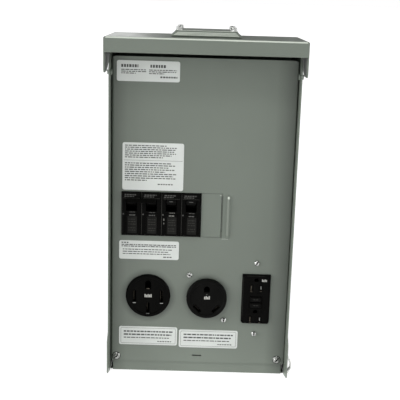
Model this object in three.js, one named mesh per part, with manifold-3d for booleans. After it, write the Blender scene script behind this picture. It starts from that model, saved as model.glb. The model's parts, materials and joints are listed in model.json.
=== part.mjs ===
// Surface-mounted outdoor power outlet panel: a rain-tight sheet-steel enclosure with plug-on
// circuit breakers above a 50 A, a 30 A and a 20 A ground-fault receptacle.
//
// Inside this file x runs across the panel, y runs from the face of the dead front (0) back to
// the wall that the enclosure is screwed to, and z runs up from the bottom edge, all in mm.
// The exported group is shifted so that the origin is the centre of the back mounting face.

import * as THREE from 'three';
import { mergeVertices } from 'three/addons/utils/BufferGeometryUtils.js';
import Module from 'manifold-3d';

const wasm = await Module();
wasm.setup();

// ---- driving dimensions ------------------------------------------------------------------

const SHEET = 1.5;                      // enclosure steel
const GAP = 0.3;                        // between pieces that touch
const BACK_Y = 96;                      // rear face of the back wall
const BODY_HALF_WIDTH = 116.7;          // outside of the side walls
const ROOF_TOP_Z = 437;
const MID_HEIGHT = 218;                 // height of the origin above the bottom edge

const WALL_FRONT_Y = -17;               // front edge of the side walls
const WALL_TAB_Y = -28;                 // front edge of the lower lock tabs

const NOSE = { topY: -5, frontY: -22, lowZ: 396 };   // of the side wall, beside the door pivot
const TAB = { bottomZ: 8, topZ: 52, rampTopZ: 61 };   // the lock tab on the side wall
const MOUNTING_HOLES = [[-75, 385], [75, 385], [-75, 40], [75, 40]];

// The side flanges of the hood hang to tipZ in front and rise to the front edge's height behind.
const HOOD = {
  halfWidth: 122.2,
  frontY: -25,
  frontEdgeZ: 418.4,
  tipZ: 394,
  skirtY: 4,
  riseEndY: 60,
  bend: 2.4,
};
const HINGE_PIN = { y: -10, z: 394, shankRadius: 2, headRadius: 3.6, tailHeight: 1.6 };

const HUB_PLATE = {
  halfWidth: 43.5,
  frontY: 9,
  backY: 90,
  topZ: ROOF_TOP_Z + 8,
  topInset: 5.5,
  margin: 3,
};
const HUB_SCREWS = [[-33.5, 20], [33.5, 20], [-33.5, 78], [33.5, 78]];
const HUB_HOLE_RADIUS = 2.6;
const HUB_SCREW = {
  headRadius: 4.2,
  headHeight: 4.2,
  shankRadius: 2.2,
  tipZ: 427,
  slotWidth: 1.4,
  slotDepth: 1.8,
};
const GASKET = 1.2;
const STAPLE = { frontY: -14, backY: -7, bottomZ: 7, topZ: 33, reach: 6.2, thick: 1.6 };

const LIP = { halfWidth: 111.6, frontY: 1.8, topZ: 30 };

const FRONT = { halfWidth: 114.1, bottomZ: 14.6, topZ: 412.8, cornerRadius: 5, returnDepth: 12 };

const BREAKER = {
  pitch: 25.2,
  rowLeftX: -101.4,
  noseBottomZ: 187.1,
  noseTopZ: 243.9,
  noseFrontY: -3,
  shoulderY: 4,
  bodyBottomZ: 178,
  bodyTopZ: 254,
  bodyBackY: 57.7,
};

// Window of the dead front that the breakers and the filler plate come through.
const BREAKER_WINDOW = {
  left: BREAKER.rowLeftX - GAP,
  bottom: BREAKER.noseBottomZ - GAP,
  top: BREAKER.noseTopZ + GAP,
};
const FILLER = { left: BREAKER.rowLeftX + 4 * BREAKER.pitch + GAP, right: 25.2, slit: 0.7 };
const RIB = { left: 32.4, right: 35.6, bottomZ: 186.6, topZ: 241, height: 1 };

const TOGGLE = {
  z: 227.2,
  pivotY: 12,
  hubRadius: 5,
  width: 12.4,
  thickness: 4.6,
  reach: 17.2,
  onAngle: 20,
  pocketHalfWidth: 6.9,
  pocketHalfHeight: 7.9,
  axleRadius: 1.4,
  bearingRadius: 1.8,
};

// Where a load wire enters the bottom of a breaker.
const WIRE_WAY = { y: 42, radius: 4.4, depth: 12 };

const RANGE_OUTLET = { x: -66.2, z: 106, faceRadius: 28.7, bodyRadius: 31.3, frontY: -3.2, backY: 40 };
const RV_OUTLET = { x: 10, z: 105, faceRadius: 26, bodyRadius: 27.3, frontY: -7.4, backY: 36 };
const GFCI = { x: 73.9, z: 105.2, width: 36.2, height: 66.8, frontY: -2.6, screwSpacing: 96.8 };

const DEAD_FRONT_SCREWS = [[-107, 20.6], [105, 20.6]];
const RV_SCREWS = [[-13, 135.4], [33, 75]];
const GFCI_SCREWS = [-1, 1].map((side) => [GFCI.x - 0.4, GFCI.z + (side * GFCI.screwSpacing) / 2]);

const CIRCLE = 40;                      // segments on round faces
const SMALL_CIRCLE = 16;                // segments on screws and pins

// ---- finishes ----------------------------------------------------------------------------

const finishes = {
  greyPaint: { color: 0x79827a, roughness: 0.5, metalness: 0.15 },
  galvanised: { color: 0xa9adab, roughness: 0.45, metalness: 0.8 },
  zinc: { color: 0xc9ccc8, roughness: 0.3, metalness: 0.9 },
  copper: { color: 0xb4693f, roughness: 0.35, metalness: 0.95 },
  aluminium: { color: 0xb9bcbf, roughness: 0.4, metalness: 0.9 },
  blackPlastic: { color: 0x121210, roughness: 0.45, metalness: 0 },
  charcoalPlastic: { color: 0x242424, roughness: 0.5, metalness: 0 },
  bluePlastic: { color: 0x2a3b57, roughness: 0.55, metalness: 0 },
  whiteLabel: { color: 0xc3c6c1, roughness: 0.5, metalness: 0 },
  rubber: { color: 0x1b1b1b, roughness: 0.85, metalness: 0 },
  redWire: { color: 0x8c2622, roughness: 0.5, metalness: 0 },
  blackWire: { color: 0x151515, roughness: 0.5, metalness: 0 },
  whiteWire: { color: 0xd8d6cf, roughness: 0.5, metalness: 0 },
  greenWire: { color: 0x2c6a3a, roughness: 0.5, metalness: 0 },
};

// ---- solid helpers -----------------------------------------------------------------------

function toSolid(geometry) {
  const bare = geometry.clone();
  bare.deleteAttribute('normal');
  bare.deleteAttribute('uv');
  const merged = mergeVertices(bare, 1e-4);
  return new wasm.Manifold(new wasm.Mesh({
    numProp: 3,
    vertProperties: new Float32Array(merged.attributes.position.array),
    triVerts: new Uint32Array(merged.index.array),
  }));
}

function toGeometry(solid) {
  const mesh = solid.getMesh();
  const geometry = new THREE.BufferGeometry();
  geometry.setAttribute('position', new THREE.BufferAttribute(mesh.vertProperties, 3));
  geometry.setIndex(new THREE.BufferAttribute(mesh.triVerts, 1));
  const faceted = geometry.toNonIndexed();
  faceted.computeVertexNormals();
  return faceted;
}

function box(x0, x1, y0, y1, z0, z1) {
  const geometry = new THREE.BoxGeometry(x1 - x0, y1 - y0, z1 - z0);
  geometry.translate((x0 + x1) / 2, (y0 + y1) / 2, (z0 + z1) / 2);
  return toSolid(geometry);
}

// A cylinder along Y from y0 to y1.
function pinY(x, z, radius, y0, y1, segments = SMALL_CIRCLE) {
  const geometry = new THREE.CylinderGeometry(radius, radius, y1 - y0, segments);
  geometry.translate(x, (y0 + y1) / 2, z);
  return toSolid(geometry);
}

// A cylinder along X from x0 to x1.
function pinX(y, z, radius, x0, x1, segments = SMALL_CIRCLE) {
  const geometry = new THREE.CylinderGeometry(radius, radius, x1 - x0, segments);
  geometry.rotateZ(Math.PI / 2);
  geometry.translate((x0 + x1) / 2, y, z);
  return toSolid(geometry);
}

// A cylinder along Z from z0 to z1.
function pinZ(x, y, radius, z0, z1, segments = SMALL_CIRCLE) {
  const geometry = new THREE.CylinderGeometry(radius, radius, z1 - z0, segments);
  geometry.rotateX(Math.PI / 2);
  geometry.translate(x, y, (z0 + z1) / 2);
  return toSolid(geometry);
}

// An outline in x and z, extruded from y0 back to y1.
function frontPlate(shape, y0, y1, curveSegments = 6) {
  const geometry = new THREE.ExtrudeGeometry(shape, { depth: y1 - y0, bevelEnabled: false, curveSegments });
  geometry.rotateX(Math.PI / 2);
  geometry.translate(0, y1, 0);
  return toSolid(geometry);
}

// An outline in y and z, extruded from x0 to x1.
function sidePlate(shape, x0, x1) {
  const geometry = new THREE.ExtrudeGeometry(shape, { depth: x1 - x0, bevelEnabled: false });
  const turn = new THREE.Matrix4().makeBasis(
    new THREE.Vector3(0, 1, 0),
    new THREE.Vector3(0, 0, 1),
    new THREE.Vector3(1, 0, 0),
  );
  geometry.applyMatrix4(turn);
  geometry.translate(x0, 0, 0);
  return toSolid(geometry);
}

// An outline in x and y, extruded from z0 up to z1.
function planPlate(shape, z0, z1) {
  const options = { depth: z1 - z0, bevelEnabled: false, curveSegments: 4 };
  const geometry = new THREE.ExtrudeGeometry(shape, options);
  geometry.translate(0, 0, z0);
  return toSolid(geometry);
}

// A solid of revolution about a line along Y; the profile lists [radius, y].
function turnedY(profile, x, z, segments = CIRCLE) {
  const points = profile.map(([radius, y]) => new THREE.Vector2(radius, y));
  const geometry = new THREE.LatheGeometry(points, segments);
  geometry.translate(x, 0, z);
  return toSolid(geometry);
}

function polygon(points) {
  return new THREE.Shape(points.map(([a, b]) => new THREE.Vector2(a, b)));
}

// A rectangle whose corner radii are listed as [lower left, lower right, upper right, upper left].
function roundedRectangle(a0, a1, b0, b1, radii) {
  const [ll, lr, ur, ul] = Array.isArray(radii) ? radii : [radii, radii, radii, radii];
  const shape = new THREE.Shape();
  shape.moveTo(a0 + ll, b0);
  shape.lineTo(a1 - lr, b0);
  if (lr > 0) shape.absarc(a1 - lr, b0 + lr, lr, -Math.PI / 2, 0, false);
  shape.lineTo(a1, b1 - ur);
  if (ur > 0) shape.absarc(a1 - ur, b1 - ur, ur, 0, Math.PI / 2, false);
  shape.lineTo(a0 + ul, b1);
  if (ul > 0) shape.absarc(a0 + ul, b1 - ul, ul, Math.PI / 2, Math.PI, false);
  shape.lineTo(a0, b0 + ll);
  if (ll > 0) shape.absarc(a0 + ll, b0 + ll, ll, Math.PI, 1.5 * Math.PI, false);
  return shape;
}

function join(...solids) {
  return solids.reduce((whole, next) => whole.add(next));
}

function cut(solid, ...tools) {
  return tools.reduce((rest, tool) => rest.subtract(tool), solid);
}

// A round tube along a smooth curve through the points, for insulated wire.
function wireAlong(points, radius, steps) {
  const curve = new THREE.CatmullRomCurve3(points.map(([x, y, z]) => new THREE.Vector3(x, y, z)));
  const section = new THREE.Shape();
  const sides = 8;
  for (let i = 0; i < sides; i += 1) {
    const angle = (2 * Math.PI * i) / sides;
    const place = [radius * Math.cos(angle), radius * Math.sin(angle)];
    if (i === 0) section.moveTo(...place);
    else section.lineTo(...place);
  }
  return new THREE.ExtrudeGeometry(section, { steps, extrudePath: curve, bevelEnabled: false });
}

const panel = new THREE.Group();
panel.position.set(0, -BACK_Y, -MID_HEIGHT);

function piece(name, shape, finish) {
  const geometry = shape instanceof THREE.BufferGeometry ? shape : toGeometry(shape);
  const mesh = new THREE.Mesh(geometry, new THREE.MeshStandardMaterial(finishes[finish]));
  mesh.name = name;
  panel.add(mesh);
}

// ---- enclosure ---------------------------------------------------------------------------

// Back and side walls folded from one sheet; the front edges of the side walls carry a nose at the
// top, beside the door pivot, and a lock tab at the bottom.
function enclosureWrap() {
  const inner = BODY_HALF_WIDTH - SHEET;
  const bend = 2.5;
  const outer = BODY_HALF_WIDTH;
  const outside = roundedRectangle(-outer, outer, WALL_TAB_Y - 1, BACK_Y, [0, 0, bend, bend]);
  const inside = roundedRectangle(-inner, inner, WALL_TAB_Y - 2, BACK_Y - SHEET, [0, 0, 1, 1]);
  const wallTop = ROOF_TOP_Z - SHEET - GAP;
  const walls = planPlate(outside, 0, wallTop).subtract(planPlate(inside, -1, wallTop + 1));
  const sideOutline = polygon([
    [BACK_Y + 1, 0],
    [BACK_Y + 1, wallTop],
    [NOSE.topY, wallTop],
    [NOSE.topY, NOSE.lowZ + 20],
    [NOSE.frontY, NOSE.lowZ],
    [NOSE.frontY + 1, NOSE.lowZ - 2.5],
    [WALL_FRONT_Y, NOSE.lowZ - 5],
    [WALL_FRONT_Y, TAB.rampTopZ],
    [WALL_TAB_Y, TAB.topZ],
    [WALL_TAB_Y, TAB.bottomZ],
    [-1, 0],
  ]);
  const flangeWidth = 11;
  const topFlanges = [-1, 1].map((side) => {
    const edges = [side * (inner + 0.5), side * (inner - flangeWidth)].sort((a, b) => a - b);
    return box(edges[0], edges[1], 6, BACK_Y - SHEET - 2, wallTop - SHEET, wallTop);
  });
  const pivotHoles = pinX(HINGE_PIN.y, HINGE_PIN.z, HINGE_PIN.shankRadius + GAP, -130, 130);
  const mountingHoles = MOUNTING_HOLES.map(([x, z]) => pinY(x, z, 3.6, BACK_Y - 4, BACK_Y + 2));
  const trimmed = walls.intersect(sidePlate(sideOutline, -130, 130));
  return cut(join(trimmed, ...topFlanges), pivotHoles, ...mountingHoles);
}

piece('enclosure_wrap', enclosureWrap(), 'greyPaint');

// Bottom wall with an upturned front lip that the dead front is screwed to, and two knockouts that
// are cut almost all the way round.
function bottomWall() {
  const half = BODY_HALF_WIDTH - SHEET - GAP;
  const rear = BACK_Y - SHEET - GAP;
  const floor = planPlate(roundedRectangle(-half, half, LIP.frontY + 2, rear, [0, 0, 1.2, 1.2]), 0, SHEET);
  const lip = box(-LIP.halfWidth, LIP.halfWidth, LIP.frontY, LIP.frontY + SHEET, 0, LIP.topZ);
  const floorFront = box(-LIP.halfWidth, LIP.halfWidth, LIP.frontY, LIP.frontY + 4, 0, SHEET);
  const rings = [[-48, 52, 22], [48, 52, 17]].map(([x, y, radius]) => {
    const ring = pinZ(x, y, radius + 0.5, -1, 3, 32).subtract(pinZ(x, y, radius, -2, 4, 32));
    return ring.subtract(box(x - 1.5, x + 1.5, y - 40, y + 40, -2, 4));
  });
  const screwHoles = DEAD_FRONT_SCREWS.map(([x, z]) => pinY(x, z, 2.3, 0, 5));
  const slot = box(-9, 7.5, 0, 5, 20, 27.6);
  return cut(join(floor, lip, floorFront), slot, ...rings, ...screwHoles);
}

piece('bottom_wall', bottomWall(), 'greyPaint');

// Roof folded down at the front and at both sides; each side flange hangs lower at the front and
// covers the door pivot.
function roofHood() {
  const { halfWidth, frontY, frontEdgeZ, tipZ, skirtY, riseEndY, bend } = HOOD;
  const inner = halfWidth - SHEET;
  const frontOutline = roundedRectangle(-halfWidth, halfWidth, 380, ROOF_TOP_Z, [0, 0, bend, bend]);
  const hollowOutline = roundedRectangle(-inner, inner, 370, ROOF_TOP_Z - SHEET, [0, 0, 1, 1]);
  const sideOutline = new THREE.Shape();
  sideOutline.moveTo(BACK_Y, frontEdgeZ);
  sideOutline.lineTo(BACK_Y, ROOF_TOP_Z);
  sideOutline.lineTo(frontY + bend, ROOF_TOP_Z);
  sideOutline.absarc(frontY + bend, ROOF_TOP_Z - bend, bend, Math.PI / 2, Math.PI, false);
  sideOutline.lineTo(frontY, tipZ + 3);
  sideOutline.lineTo(frontY + 4, tipZ);
  sideOutline.lineTo(skirtY, tipZ);
  sideOutline.lineTo(riseEndY, frontEdgeZ);
  const shell = frontPlate(frontOutline, frontY - 1, BACK_Y).intersect(sidePlate(sideOutline, -130, 130));
  const hollow = frontPlate(hollowOutline, frontY + SHEET, BACK_Y + 5);
  const underFront = box(-inner, inner, frontY - 5, frontY + 3, 380, frontEdgeZ);
  const hubOpening = pinZ(0, 50, 25, 425, 445, 32);
  return cut(shell, hollow, underFront, hubOpening, ...hubScrewHoles());
}

function hubScrewHoles() {
  return HUB_SCREWS.map(([x, y]) => pinZ(x, y, HUB_HOLE_RADIUS, ROOF_TOP_Z - 10, HUB_PLATE.topZ + 5));
}

piece('roof_hood', roofHood(), 'greyPaint');

// Hub opening in the roof: a gasket under a raised pressed cover, held by four screws.
function hubGasket() {
  const base = ROOF_TOP_Z + GAP;
  const { halfWidth, frontY, backY } = HUB_PLATE;
  const outline = roundedRectangle(-halfWidth + 1, halfWidth - 1, frontY + 1, backY - 1, 4);
  const opening = roundedRectangle(-halfWidth + 18, halfWidth - 18, frontY + 17, backY - 17, 6);
  const sheet = planPlate(outline, base, base + GASKET);
  return cut(sheet, planPlate(opening, base - 5, base + 5), ...hubScrewHoles());
}

// A block whose sides slope in evenly from a rectangle at z0 to a smaller one at z1.
function slopedBlock(halfWidth, y0, y1, z0, z1, inset) {
  const geometry = new THREE.BoxGeometry(2 * halfWidth, y1 - y0, z1 - z0);
  const place = geometry.attributes.position;
  const narrow = (halfWidth - inset) / halfWidth;
  const shorten = (y1 - y0 - 2 * inset) / (y1 - y0);
  for (let i = 0; i < place.count; i += 1) {
    if (place.getZ(i) > 0) place.setXY(i, place.getX(i) * narrow, place.getY(i) * shorten);
  }
  geometry.translate(0, (y0 + y1) / 2, (z0 + z1) / 2);
  return toSolid(geometry);
}

function hubClosurePlate() {
  const { halfWidth, frontY, backY, topZ, topInset, margin } = HUB_PLATE;
  const base = ROOF_TOP_Z + GAP + GASKET + GAP;
  const flange = planPlate(roundedRectangle(-halfWidth, halfWidth, frontY, backY, 4), base, base + SHEET);
  const slope = topInset - margin;
  const raised = slopedBlock(halfWidth - margin, frontY + margin, backY - margin, base, topZ, slope);
  const wall = margin + SHEET;
  const hollow = slopedBlock(halfWidth - wall, frontY + wall, backY - wall, base - 1, topZ - SHEET, slope);
  return cut(join(flange, raised), hollow, ...hubScrewHoles());
}

piece('hub_gasket', hubGasket(), 'rubber');
piece('hub_closure_plate', hubClosurePlate(), 'greyPaint');

// Slotted hexagon-head screw standing on the cover, its shank going down through the roof.
function hubScrew(x, y) {
  const { headRadius, headHeight, shankRadius, tipZ, slotWidth, slotDepth } = HUB_SCREW;
  const seat = HUB_PLATE.topZ + GAP;
  const top = seat + headHeight;
  const head = pinZ(x, y, headRadius, seat, top, 6);
  const shank = pinZ(x, y, shankRadius, tipZ, seat + 1, 12);
  const slot = box(x - slotWidth / 2, x + slotWidth / 2, y - 2 * headRadius, y + 2 * headRadius,
    top - slotDepth, top + 1);
  return join(head, shank).subtract(slot);
}

HUB_SCREWS.forEach(([x, y], index) => piece(`hub_screw_${index + 1}`, hubScrew(x, y), 'zinc'));

// Pivot rivets on which a lift-off door would hang, one through each side wall.
function hingeRivet(side) {
  const inner = BODY_HALF_WIDTH - SHEET;
  const outer = BODY_HALF_WIDTH + GAP + HINGE_PIN.tailHeight;
  const shank = [side * (inner - 1.5), side * outer].sort((a, b) => a - b);
  const head = [side * (inner - GAP), side * (inner - GAP - 2)].sort((a, b) => a - b);
  const tail = [side * (BODY_HALF_WIDTH + GAP), side * outer].sort((a, b) => a - b);
  return join(
    pinX(HINGE_PIN.y, HINGE_PIN.z, HINGE_PIN.shankRadius, shank[0], shank[1]),
    pinX(HINGE_PIN.y, HINGE_PIN.z, HINGE_PIN.headRadius, head[0], head[1]),
    pinX(HINGE_PIN.y, HINGE_PIN.z, HINGE_PIN.headRadius - 0.6, tail[0], tail[1]),
  );
}

piece('hinge_rivet_left', hingeRivet(-1), 'greyPaint');
piece('hinge_rivet_right', hingeRivet(1), 'greyPaint');

// Padlock staple: a strip bent into a loop and spot-welded to the outside of the right wall.
function padlockStaple() {
  const wall = BODY_HALF_WIDTH + GAP;
  const { frontY, backY, bottomZ, topZ, reach, thick } = STAPLE;
  const outer = polygon([
    [wall, bottomZ],
    [wall + thick, bottomZ],
    [wall + reach - 1.5, bottomZ + 5.5],
    [wall + reach, bottomZ + 8],
    [wall + reach, topZ - 11],
    [wall + reach - 1.5, topZ - 7],
    [wall + thick, topZ],
    [wall, topZ],
  ]);
  const inner = polygon([
    [wall - 1, bottomZ + 4],
    [wall + 1, bottomZ + 4],
    [wall + reach - thick, bottomZ + 8.5],
    [wall + reach - thick, topZ - 11.5],
    [wall + 1, topZ - 4],
    [wall - 1, topZ - 4],
  ]);
  const foot = box(wall, wall + 1, frontY, backY, bottomZ, topZ);
  return join(frontPlate(outer, frontY, backY).subtract(frontPlate(inner, frontY - 1, backY + 1)), foot);
}

piece('padlock_staple', padlockStaple(), 'zinc');

// ---- dead front --------------------------------------------------------------------------

function deadFront() {
  const { halfWidth, bottomZ, topZ, cornerRadius, returnDepth } = FRONT;
  const outline = roundedRectangle(-halfWidth, halfWidth, bottomZ, topZ, [1, 1, cornerRadius, cornerRadius]);
  const face = frontPlate(outline, 0, SHEET);
  const returns = [-1, 1].map((side) => {
    const edges = [side * halfWidth, side * (halfWidth - SHEET)].sort((a, b) => a - b);
    return box(edges[0], edges[1], 0, returnDepth, 34, topZ - 12);
  });
  const { left, bottom, top } = BREAKER_WINDOW;
  const window = box(left, FILLER.right + FILLER.slit, -1, 3, bottom, top);
  const rangeHole = pinY(RANGE_OUTLET.x, RANGE_OUTLET.z, RANGE_OUTLET.faceRadius + GAP, -1, 3, CIRCLE);
  const rvHole = pinY(RV_OUTLET.x, RV_OUTLET.z, RV_OUTLET.faceRadius + GAP, -1, 3, CIRCLE);
  const gfciHole = frontPlate(gfciOutline(GAP), -1, 3);
  const screwHoles = [...RV_SCREWS, ...GFCI_SCREWS].map(([x, z]) => pinY(x, z, 2.2, -1, 3));
  const cornerHoles = DEAD_FRONT_SCREWS.map(([x, z]) => pinY(x, z, 2.8, -1, 3));
  const tieSlot = box(-6.8, 5.2, -1, 3, 23, 24.6);
  return cut(join(face, slopedRib(), ...returns), window, rangeHole, rvHole, gfciHole, tieSlot,
    ...screwHoles, ...cornerHoles);
}

// A vertical rib pressed forward out of the sheet, with sloping flanks and ends.
function slopedRib() {
  const { left, right, bottomZ, topZ, height } = RIB;
  const root = 0.5;
  const geometry = new THREE.BoxGeometry(right - left, height + root, topZ - bottomZ);
  const place = geometry.attributes.position;
  for (let i = 0; i < place.count; i += 1) {
    if (place.getY(i) < 0) place.setXYZ(i, place.getX(i) * 0.4, place.getY(i), place.getZ(i) * 0.97);
  }
  geometry.translate((left + right) / 2, root - (height + root) / 2, (bottomZ + topZ) / 2);
  return toSolid(geometry);
}

// Face outline of the ground-fault receptacle, grown by a clearance: square above, rounded below.
function gfciOutline(clearance) {
  const halfWidth = GFCI.width / 2 + clearance;
  const halfHeight = GFCI.height / 2 + clearance;
  return roundedRectangle(GFCI.x - halfWidth, GFCI.x + halfWidth,
    GFCI.z - halfHeight, GFCI.z + halfHeight, [3, 3, 0, 0]);
}

piece('dead_front', deadFront(), 'greyPaint');

// Filler plate in the unused breaker place.
piece('breaker_filler_plate',
  box(FILLER.left, FILLER.right, 0, SHEET, BREAKER.noseBottomZ, BREAKER.noseTopZ), 'greyPaint');

// Self-adhesive labels on the dead front.
const LABELS = {
  label_top: [-108.2, -31.1, 382.6, 407.8],
  label_upper: [-100.6, -23.9, 246.4, 306.9],
  label_middle: [-104.1, -27.5, 155.2, 179.9],
  label_lower_left: [-103.5, -27.2, 37.2, 62.8],
  label_lower_right: [-24.9, 52.3, 35.2, 60.2],
};

Object.entries(LABELS).forEach(([name, [x0, x1, z0, z1]]) => {
  piece(name, frontPlate(roundedRectangle(x0, x1, z0, z1, 2.5), -GAP - 0.2, -GAP, 4), 'whiteLabel');
});

// Pan-head screw through the dead front; the head stands on the sheet.
function panHeadScrew(x, z, headRadius, headHeight, shankRadius, length, slotAngle) {
  const seat = -GAP;
  const head = turnedY([
    [0, seat - headHeight],
    [headRadius * 0.55, seat - headHeight],
    [headRadius * 0.9, seat - headHeight * 0.6],
    [headRadius, seat],
    [0, seat],
  ], x, z, 20);
  const shank = pinY(x, z, shankRadius, seat - 0.5, length, 12);
  const slotGeometry = new THREE.BoxGeometry(4 * headRadius, headHeight, headRadius * 0.26);
  slotGeometry.rotateY(slotAngle);
  slotGeometry.translate(x, seat - headHeight, z);
  return join(head, shank).subtract(toSolid(slotGeometry));
}

DEAD_FRONT_SCREWS.forEach(([x, z], index) => {
  const name = index === 0 ? 'dead_front_screw_left' : 'dead_front_screw_right';
  piece(name, panHeadScrew(x, z, 4.8, 2.6, 2, 14, index === 0 ? Math.PI / 4 : -Math.PI / 4), 'zinc');
});
RV_SCREWS.forEach(([x, z], index) => {
  const name = index === 0 ? 'rv_outlet_screw_upper' : 'rv_outlet_screw_lower';
  piece(name, panHeadScrew(x, z, 3.5, 2, 1.8, 9, 0.4 + index * 1.1), 'zinc');
});
GFCI_SCREWS.forEach(([x, z], index) => {
  const name = index === 0 ? 'gfci_screw_lower' : 'gfci_screw_upper';
  piece(name, panHeadScrew(x, z, 3.3, 1.8, 1.7, 9, Math.PI / 2 + index * 0.6), 'zinc');
});

// ---- circuit breakers --------------------------------------------------------------------

function poleCentre(index) {
  return BREAKER.rowLeftX + BREAKER.pitch * (index + 0.5);
}

// Moulded case covering the poles from first to last, open where each toggle swings.
function breakerCase(first, last) {
  const half = BREAKER.pitch / 2 - 0.15;
  const left = poleCentre(first) - half;
  const right = poleCentre(last) + half;
  const { noseFrontY, noseBottomZ, noseTopZ, shoulderY, bodyBottomZ, bodyTopZ, bodyBackY } = BREAKER;
  const pocket = TOGGLE.pocketHalfWidth;
  const bearing = pocket + 1.6;
  const pocketBottom = TOGGLE.z - TOGGLE.pocketHalfHeight;
  const pocketTop = TOGGLE.z + TOGGLE.pocketHalfHeight;
  const noseBack = shoulderY + 1;
  let shell = box(left, right, shoulderY, bodyBackY, bodyBottomZ, bodyTopZ);
  const cuts = [];
  for (let pole = first; pole <= last; pole += 1) {
    const x = poleCentre(pole);
    const nose = box(x - half, x + half, noseFrontY + 1.4, noseBack, noseBottomZ, noseTopZ);
    const raised = box(x - 7.6, x + 7.6, noseFrontY, noseBack, noseBottomZ + 1, pocketBottom - 2.8);
    const brow = box(x - half + 1, x + half - 1, noseFrontY + 0.2, noseBack, pocketTop + 1.5, noseTopZ - 1);
    shell = join(shell, nose, raised, brow);
    cuts.push(box(x - pocket, x + pocket, noseFrontY - 1, TOGGLE.pivotY, pocketBottom, pocketTop));
    cuts.push(pinX(TOGGLE.pivotY, TOGGLE.z, TOGGLE.pocketHalfHeight, x - pocket, x + pocket, 24));
    cuts.push(pinX(TOGGLE.pivotY, TOGGLE.z, TOGGLE.bearingRadius, x - bearing, x + bearing, 12));
    cuts.push(pinZ(x, WIRE_WAY.y, WIRE_WAY.radius, bodyBottomZ - 1, bodyBottomZ + WIRE_WAY.depth));
  }
  return cut(shell, ...cuts);
}

piece('breaker_50a_case', breakerCase(0, 1), 'blackPlastic');
piece('breaker_30a_case', breakerCase(2, 2), 'blackPlastic');
piece('breaker_20a_case', breakerCase(3, 3), 'blackPlastic');

// Toggle with its axle, turned up to the ON end of its swing.
function toggle(pole) {
  const x = poleCentre(pole);
  const half = TOGGLE.width / 2;
  const { pivotY, z, hubRadius, thickness, reach } = TOGGLE;
  const lever = polygon([
    [pivotY, z - hubRadius * 0.8],
    [pivotY, z + hubRadius * 0.8],
    [pivotY - reach + 2.5, z + thickness / 2],
    [pivotY - reach, z + thickness / 2 - 1],
    [pivotY - reach, z - thickness / 2 + 1],
    [pivotY - reach + 2.5, z - thickness / 2],
  ]);
  const upright = join(
    sidePlate(lever, x - half, x + half),
    pinX(pivotY, z, hubRadius, x - half, x + half, 24),
    pinX(pivotY, z, TOGGLE.axleRadius, x - half - 1.7, x + half + 1.7, 12),
  );
  return swung(upright);
}

// Turns a piece about the toggle axis from the middle of the swing up to ON.
function swung(solid) {
  return solid
    .translate([0, -TOGGLE.pivotY, -TOGGLE.z])
    .rotate([-TOGGLE.onAngle, 0, 0])
    .translate([0, TOGGLE.pivotY, TOGGLE.z]);
}

piece('toggle_50a_left', toggle(0), 'blackPlastic');
piece('toggle_50a_right', toggle(1), 'blackPlastic');
piece('toggle_30a', toggle(2), 'blackPlastic');
piece('toggle_20a', toggle(3), 'blackPlastic');

// Handle tie clipped over the two toggles of the 50 A breaker.
function toggleTie() {
  const tip = TOGGLE.pivotY - TOGGLE.reach - GAP;
  const bar = box(poleCentre(0) - 6, poleCentre(1) + 6, tip - 2.2, tip, TOGGLE.z - 2.6, TOGGLE.z + 2.6);
  return swung(bar);
}

piece('toggle_tie_50a', toggleTie(), 'blackPlastic');

// ---- receptacles -------------------------------------------------------------------------

const PIN_DEPTH = 18;                   // of slots and holes, from the face
const FACE_SINK = 1.2;                  // of a round face below its rim

// A straight blade slot sunk into a receptacle face, turned about its own centre.
function bladeSlot(x, z, width, height, angle, frontY, depth) {
  const geometry = new THREE.BoxGeometry(width, depth + 2, height);
  geometry.rotateY(angle);
  geometry.translate(x, frontY + depth / 2 - 1, z);
  return toSolid(geometry);
}

// Round flush receptacle body: a bevelled face that comes through the dead front and a wider rear.
function roundReceptacle(outlet, neckEndY) {
  const { x, z, faceRadius, bodyRadius, frontY, backY } = outlet;
  return turnedY([
    [0, frontY + FACE_SINK],
    [faceRadius - 4.2, frontY + FACE_SINK],
    [faceRadius - 4, frontY + 0.3],
    [faceRadius - 3.4, frontY],
    [faceRadius - 1.6, frontY],
    [faceRadius - 0.5, frontY + 0.5],
    [faceRadius, frontY + 1.6],
    [faceRadius, neckEndY],
    [bodyRadius, neckEndY],
    [bodyRadius, backY - 2],
    [bodyRadius - 2, backY],
    [0, backY],
  ], x, z);
}

// Slot places are measured from the middle of the outlet.
const BLADE_WIDTH = 3;
const RANGE_SLOTS = {
  line: { offset: 17.6, drop: -1.4, height: 16.4 },
  neutral: { drop: -17, height: 14.4 },
  ground: { rise: 17.2, footRise: 10, radius: 3.4 },
};
const RV_SLOTS = {
  blade: { offset: 12.2, drop: -13.2, height: 11, turn: Math.PI / 4 },
  ground: { rise: 13.2, radius: 3.3 },
};

function rangeReceptacle() {
  const { x, z, frontY } = RANGE_OUTLET;
  const { line, neutral, ground } = RANGE_SLOTS;
  const face = frontY + FACE_SINK;
  const lineSlots = [-1, 1].map((side) => (
    bladeSlot(x + side * line.offset, z + line.drop, BLADE_WIDTH, line.height, 0, face, PIN_DEPTH)));
  const groundHole = join(
    pinY(x, z + ground.rise, ground.radius, frontY - 1, face + PIN_DEPTH, 20),
    box(x - ground.radius, x + ground.radius, frontY - 1, face + PIN_DEPTH,
      z + ground.footRise, z + ground.rise),
  );
  return cut(roundReceptacle(RANGE_OUTLET, 8), ...lineSlots,
    bladeSlot(x, z + neutral.drop, BLADE_WIDTH, neutral.height, 0, face, PIN_DEPTH), groundHole);
}

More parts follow.
